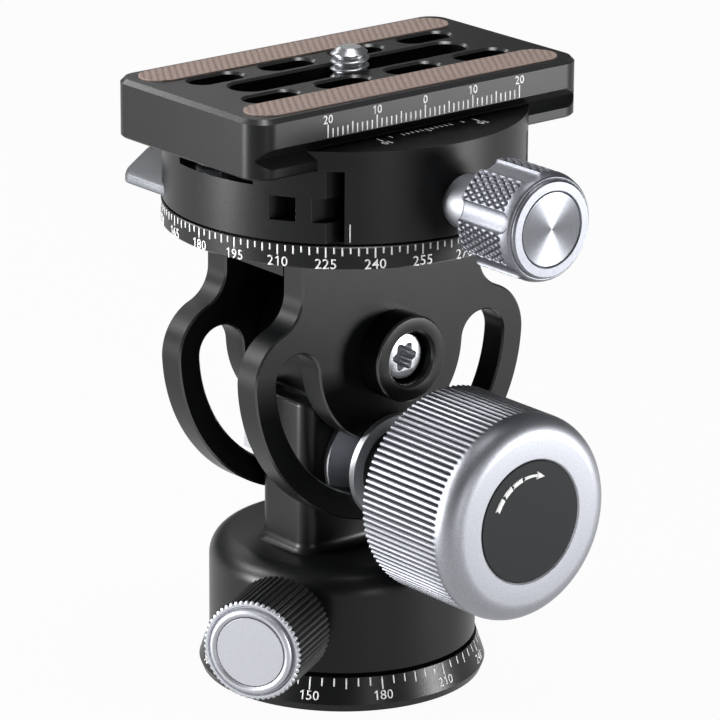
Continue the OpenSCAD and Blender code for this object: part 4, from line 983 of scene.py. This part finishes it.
# turn and radius as a flat map, so that the rings of the spun finish run round the disc
def ringMap(mesh, centre):
    which = readRows(mesh.loops, "vertex_index", kind=np.int32)
    x, _, z = (readRows(mesh.vertices, "co", 3) / mm - np.array(centre))[which].T
    turn = np.arctan2(z, x) / fullTurn
    # every face keeps its corners within half a turn of each other
    first = readRows(mesh.polygons, "loop_start", kind=np.int32)
    lead = np.repeat(turn[first], np.diff(np.append(first, len(which))))
    turn = turn + np.round(lead - turn)
    layer = mesh.uv_layers.new(name="rings")
    layer.data.foreach_set("uv", np.stack([turn, np.hypot(x, z) / 10], 1).astype(np.float32).ravel())


ringMap(spunDisc.data, gripPlace)

# base lock knob: a ribbed black drum, a silver serrated rim with a rolled ring, and a flat disc
lock = Sizes(angle=208.5, height=15.5, radius=8.48, bore=3.1, rimBore=4.0, hub=5.5, hubRear=23.4, rear=25.7,
             rim=38.35, face=39.6, disc=5.83, ribs=54, rib=0.4, skin=0.3)
v = lock
lockPlace = (0, 0, v.height)
away = math.radians(v.angle)
outward = ((-math.sin(away), math.cos(away), 0), (0, 0, 1), (math.cos(away), math.sin(away), 0))


# rounded ribs with narrow roots, on the drum and on the rim alike
def ribShape(radius, angle, height):
    root = rise(toothWave(angle, v.ribs) - 0.25, 0.75) ** 1.3
    return radius - np.where(radius > v.radius - v.skin, v.rib * root, 0)


drumProfile = [(v.bore, v.rim - 1), (v.bore, v.hubRear), (v.hub - 0.2, v.hubRear),
               (v.hub, v.hubRear + 0.2), (v.hub, v.rear), (v.radius - 0.7, v.rear),
               (v.radius, v.rear + 0.6), (v.radius, v.rear + 3), (v.radius, v.rear + 6),
               (v.radius, v.rim), (v.rimBore, v.rim)]
turnedPiece("base_knob_ribbed", drumProfile, v.ribs * 8, outward, lockPlace, "base_lock_knob", "black",
            ribAnodised, ("base_knob",), shape=ribShape, ring=True)
stepDrops = [(0.45, 0.75), (0.8, 0.75), (1.05, 1.15), (1.2, 1.15)]
rollDrops = [(1.3, 0.9), (1.4, 0.3), (1.75, 0)]
rollProfile = [(v.radius - inset, v.face - drop) for inset, drop in rollDrops]
rollProfile += [(v.disc + 0.5, v.face), (v.disc + 0.12, v.face - 0.35)]
rimProfile = np.concatenate([
    [(v.rimBore, v.rim + 0.02), (v.radius - 0.02, v.rim + 0.02), (v.radius - 0.05, v.rim + 0.2)],
    [(v.radius - inset, v.face - drop) for inset, drop in stepDrops],
    softCorners(rollProfile, 0.25, 5),
    [(v.disc + 0.06, v.face - 0.8), (v.rimBore, v.face - 0.8)]])
turnedPiece("base_knob_rim", rimProfile, v.ribs * 8, outward, lockPlace, "base_lock_knob", "silver",
            discSilverAndCollarHighlight, ("base_knob",), shape=ribShape, ring=True)
baseDisc = [(0, v.face - 0.75), (v.disc, v.face - 0.75), (v.disc, v.face - 0.3),
            (v.disc - 0.1, v.face - 0.2), (0, v.face - 0.2)]
turnedPiece("base_knob_cap", baseDisc, 96, outward, lockPlace, "base_lock_knob", "silver", discSilverAndCollarHighlight,
            ("base_knob_disc",))
print("knobs made")

# thread inside the monopod socket: a ridge of one pitch per turn that stands in from the bore
socket = Sizes(bore=4.75, wall=4.72, crest=4.15, pitch=1.5875, low=0.4, high=11.8)


# a V ridge in each pitch, fading out at both ends of the socket
def socketContour(place, height):
    ridge = np.clip(1.3 - 2.2 * np.abs(2 * place - 1), 0, 1)
    ends = rise(height - socket.low, 1.2) * rise(socket.high - height, 0.6)
    return socket.wall - (socket.wall - socket.crest) * ridge * ends


socketBack = [(socket.wall, socket.high), (socket.bore, socket.high),
              (socket.bore, socket.low), (socket.wall, socket.low)]
socketParts = [turnedPart(socketBack, 64),
               helixPart(socketContour, socket.pitch, socket.low, socket.high, 64)]
buildPiece("socket_thread", socketParts, "base", "steel", steel)

# finishes of the CAD nodes that still show
slotFinish = {"black": dullAnodised, "silver": silverAnodised, "steel": steel, "brass": brass,
              "rubber": brownRubber, "glide": acetal, "disc": labelFilm}
nodeFinish = {"friction_discs": frictionGrey, "base_ring": blackAnodised, "pivot_rear_cap": blackAnodised,
              "tilt_washer": washerSilver, "tilt_rear_washer": washerSilver, "tilt_stud": silverAnodised}
for row in frame["record"]["subparts"]:
    node = frame["nodes"][row["node"]]
    node.data.materials.clear()
    node.data.materials.append(nodeFinish.get(row["node"], slotFinish[row["material_slot"]]))
print("carried-over nodes finished")

# studio: a pale floor, a dim room and six soft lamps
floorMesh = bpy.data.meshes.new("floor")
floorHalf = 3
corners = np.array([(-1, -1, 0), (1, -1, 0), (1, 1, 0), (-1, 1, 0)]) * floorHalf
floorMesh.from_pydata(corners.tolist(), [], [(0, 1, 2, 3)])
floor = bpy.data.objects.new("floor", floorMesh)
scene.collection.objects.link(floor)
floorMat = bpy.data.materials.new("paperWhite")
tree = freshTree(floorMat)
rays = addNode(tree, "ShaderNodeLightPath").outputs
paper = addNode(tree, "ShaderNodeBsdfDiffuse", {"Color": tone("#a0a0a0")})
glow = addNode(tree, "ShaderNodeEmission", {"Color": tone("#ffffff"), "Strength": 1.0})
shiny = addNode(tree, "ShaderNodeMath", {"operation": "MAXIMUM"},
                {0: rays["Is Glossy Ray"], 1: rays["Is Transmission Ray"]})
looked = addNode(tree, "ShaderNodeMath", {"operation": "MAXIMUM"},
                 {0: shiny.outputs[0], 1: rays["Is Camera Ray"]})
seen = addNode(tree, "ShaderNodeMath", {"operation": "MULTIPLY", 1: 0.96}, {0: looked.outputs[0]})
mixed = addNode(tree, "ShaderNodeMixShader", None,
                {0: seen.outputs[0], 1: paper.outputs[0], 2: glow.outputs[0]})
addNode(tree, "ShaderNodeOutputMaterial", None, {"Surface": mixed.outputs[0]})
floorMesh.materials.append(floorMat)

scene.world = bpy.data.worlds.new("studio")
tree = freshTree(scene.world)
room = addNode(tree, "ShaderNodeBackground", {"Color": tone("#ffffff"), "Strength": 0.12})
addNode(tree, "ShaderNodeOutputWorld", None, {"Surface": room.outputs[0]})


# sets an object by its three axes and its place
def setPlace(obj, axes, place):
    turn = np.eye(4)
    turn[:3, :3] = np.stack(axes, 1)
    turn[:3, 3] = place
    obj.matrix_world = Matrix(turn.tolist())


# a soft rectangle of light that faces its aim and keeps its sides level
def lamp(name, place, aim, size, watts):
    data = bpy.data.lights.new(name, "AREA")
    data.shape = "RECTANGLE"
    data.size, data.size_y = size
    data.energy = watts
    obj = bpy.data.objects.new(name, data)
    scene.collection.objects.link(obj)
    away = np.array(place, float) - np.array(aim, float)
    away = away / np.linalg.norm(away)
    side = np.cross((0, 0, 1), away)
    side = side / np.linalg.norm(side)
    setPlace(obj, (side, np.cross(away, side), away), place)


lamp("key", (0.33, -0.42, 0.06), (0, 0, 0.065), (0.14, 0.1), 2.6)
lamp("front", (-0.16, -0.60, 0.09), (0, 0, 0.06), (0.06, 0.16), 0.5)
lamp("left", (-0.47, 0.22, 0.08), (0, 0, 0.07), (0.10, 0.14), 3.6)
lamp("high", (-0.40, 0.35, 0.40), (0, 0, 0.07), (0.2, 0.2), 2.8)
lamp("back", (0.02, 0.46, 0.38), (0, 0, 0.09), (0.7, 0.12), 0.8)
lamp("top", (0.02, -0.06, 0.65), (0, 0, 0.08), (0.25, 0.25), 1.4)

# camera at the photograph's angle; the place, turn and focal length were fitted to the object's edges
shot = Sizes(azimuth=-39.70, elevation=18.04, roll=0.40, focalPixels=4626.4, widthPixels=720, sensorMm=36,
             place=(-463.66, -562.74, 290.63))
az, el, roll = (math.radians(shot[n]) for n in ("azimuth", "elevation", "roll"))
right = np.array((math.cos(az), math.sin(az), 0))
back = np.array((math.sin(az) * math.cos(el), -math.cos(az) * math.cos(el), math.sin(el)))
upward = np.cross(back, right)
camera = bpy.data.cameras.new("camera")
camera.sensor_width = shot.sensorMm
camera.lens = shot.focalPixels * shot.sensorMm / shot.widthPixels
camera.clip_start, camera.clip_end = 0.01, 20
eye = bpy.data.objects.new("camera", camera)
scene.collection.objects.link(eye)
rolledRight = math.cos(roll) * right + math.sin(roll) * upward
rolledUp = math.cos(roll) * upward - math.sin(roll) * right
setPlace(eye, (rolledRight, rolledUp, back), np.array(shot.place) * mm)
scene.camera = eye
scene.view_settings.view_transform = "Standard"
print("studio and camera set")
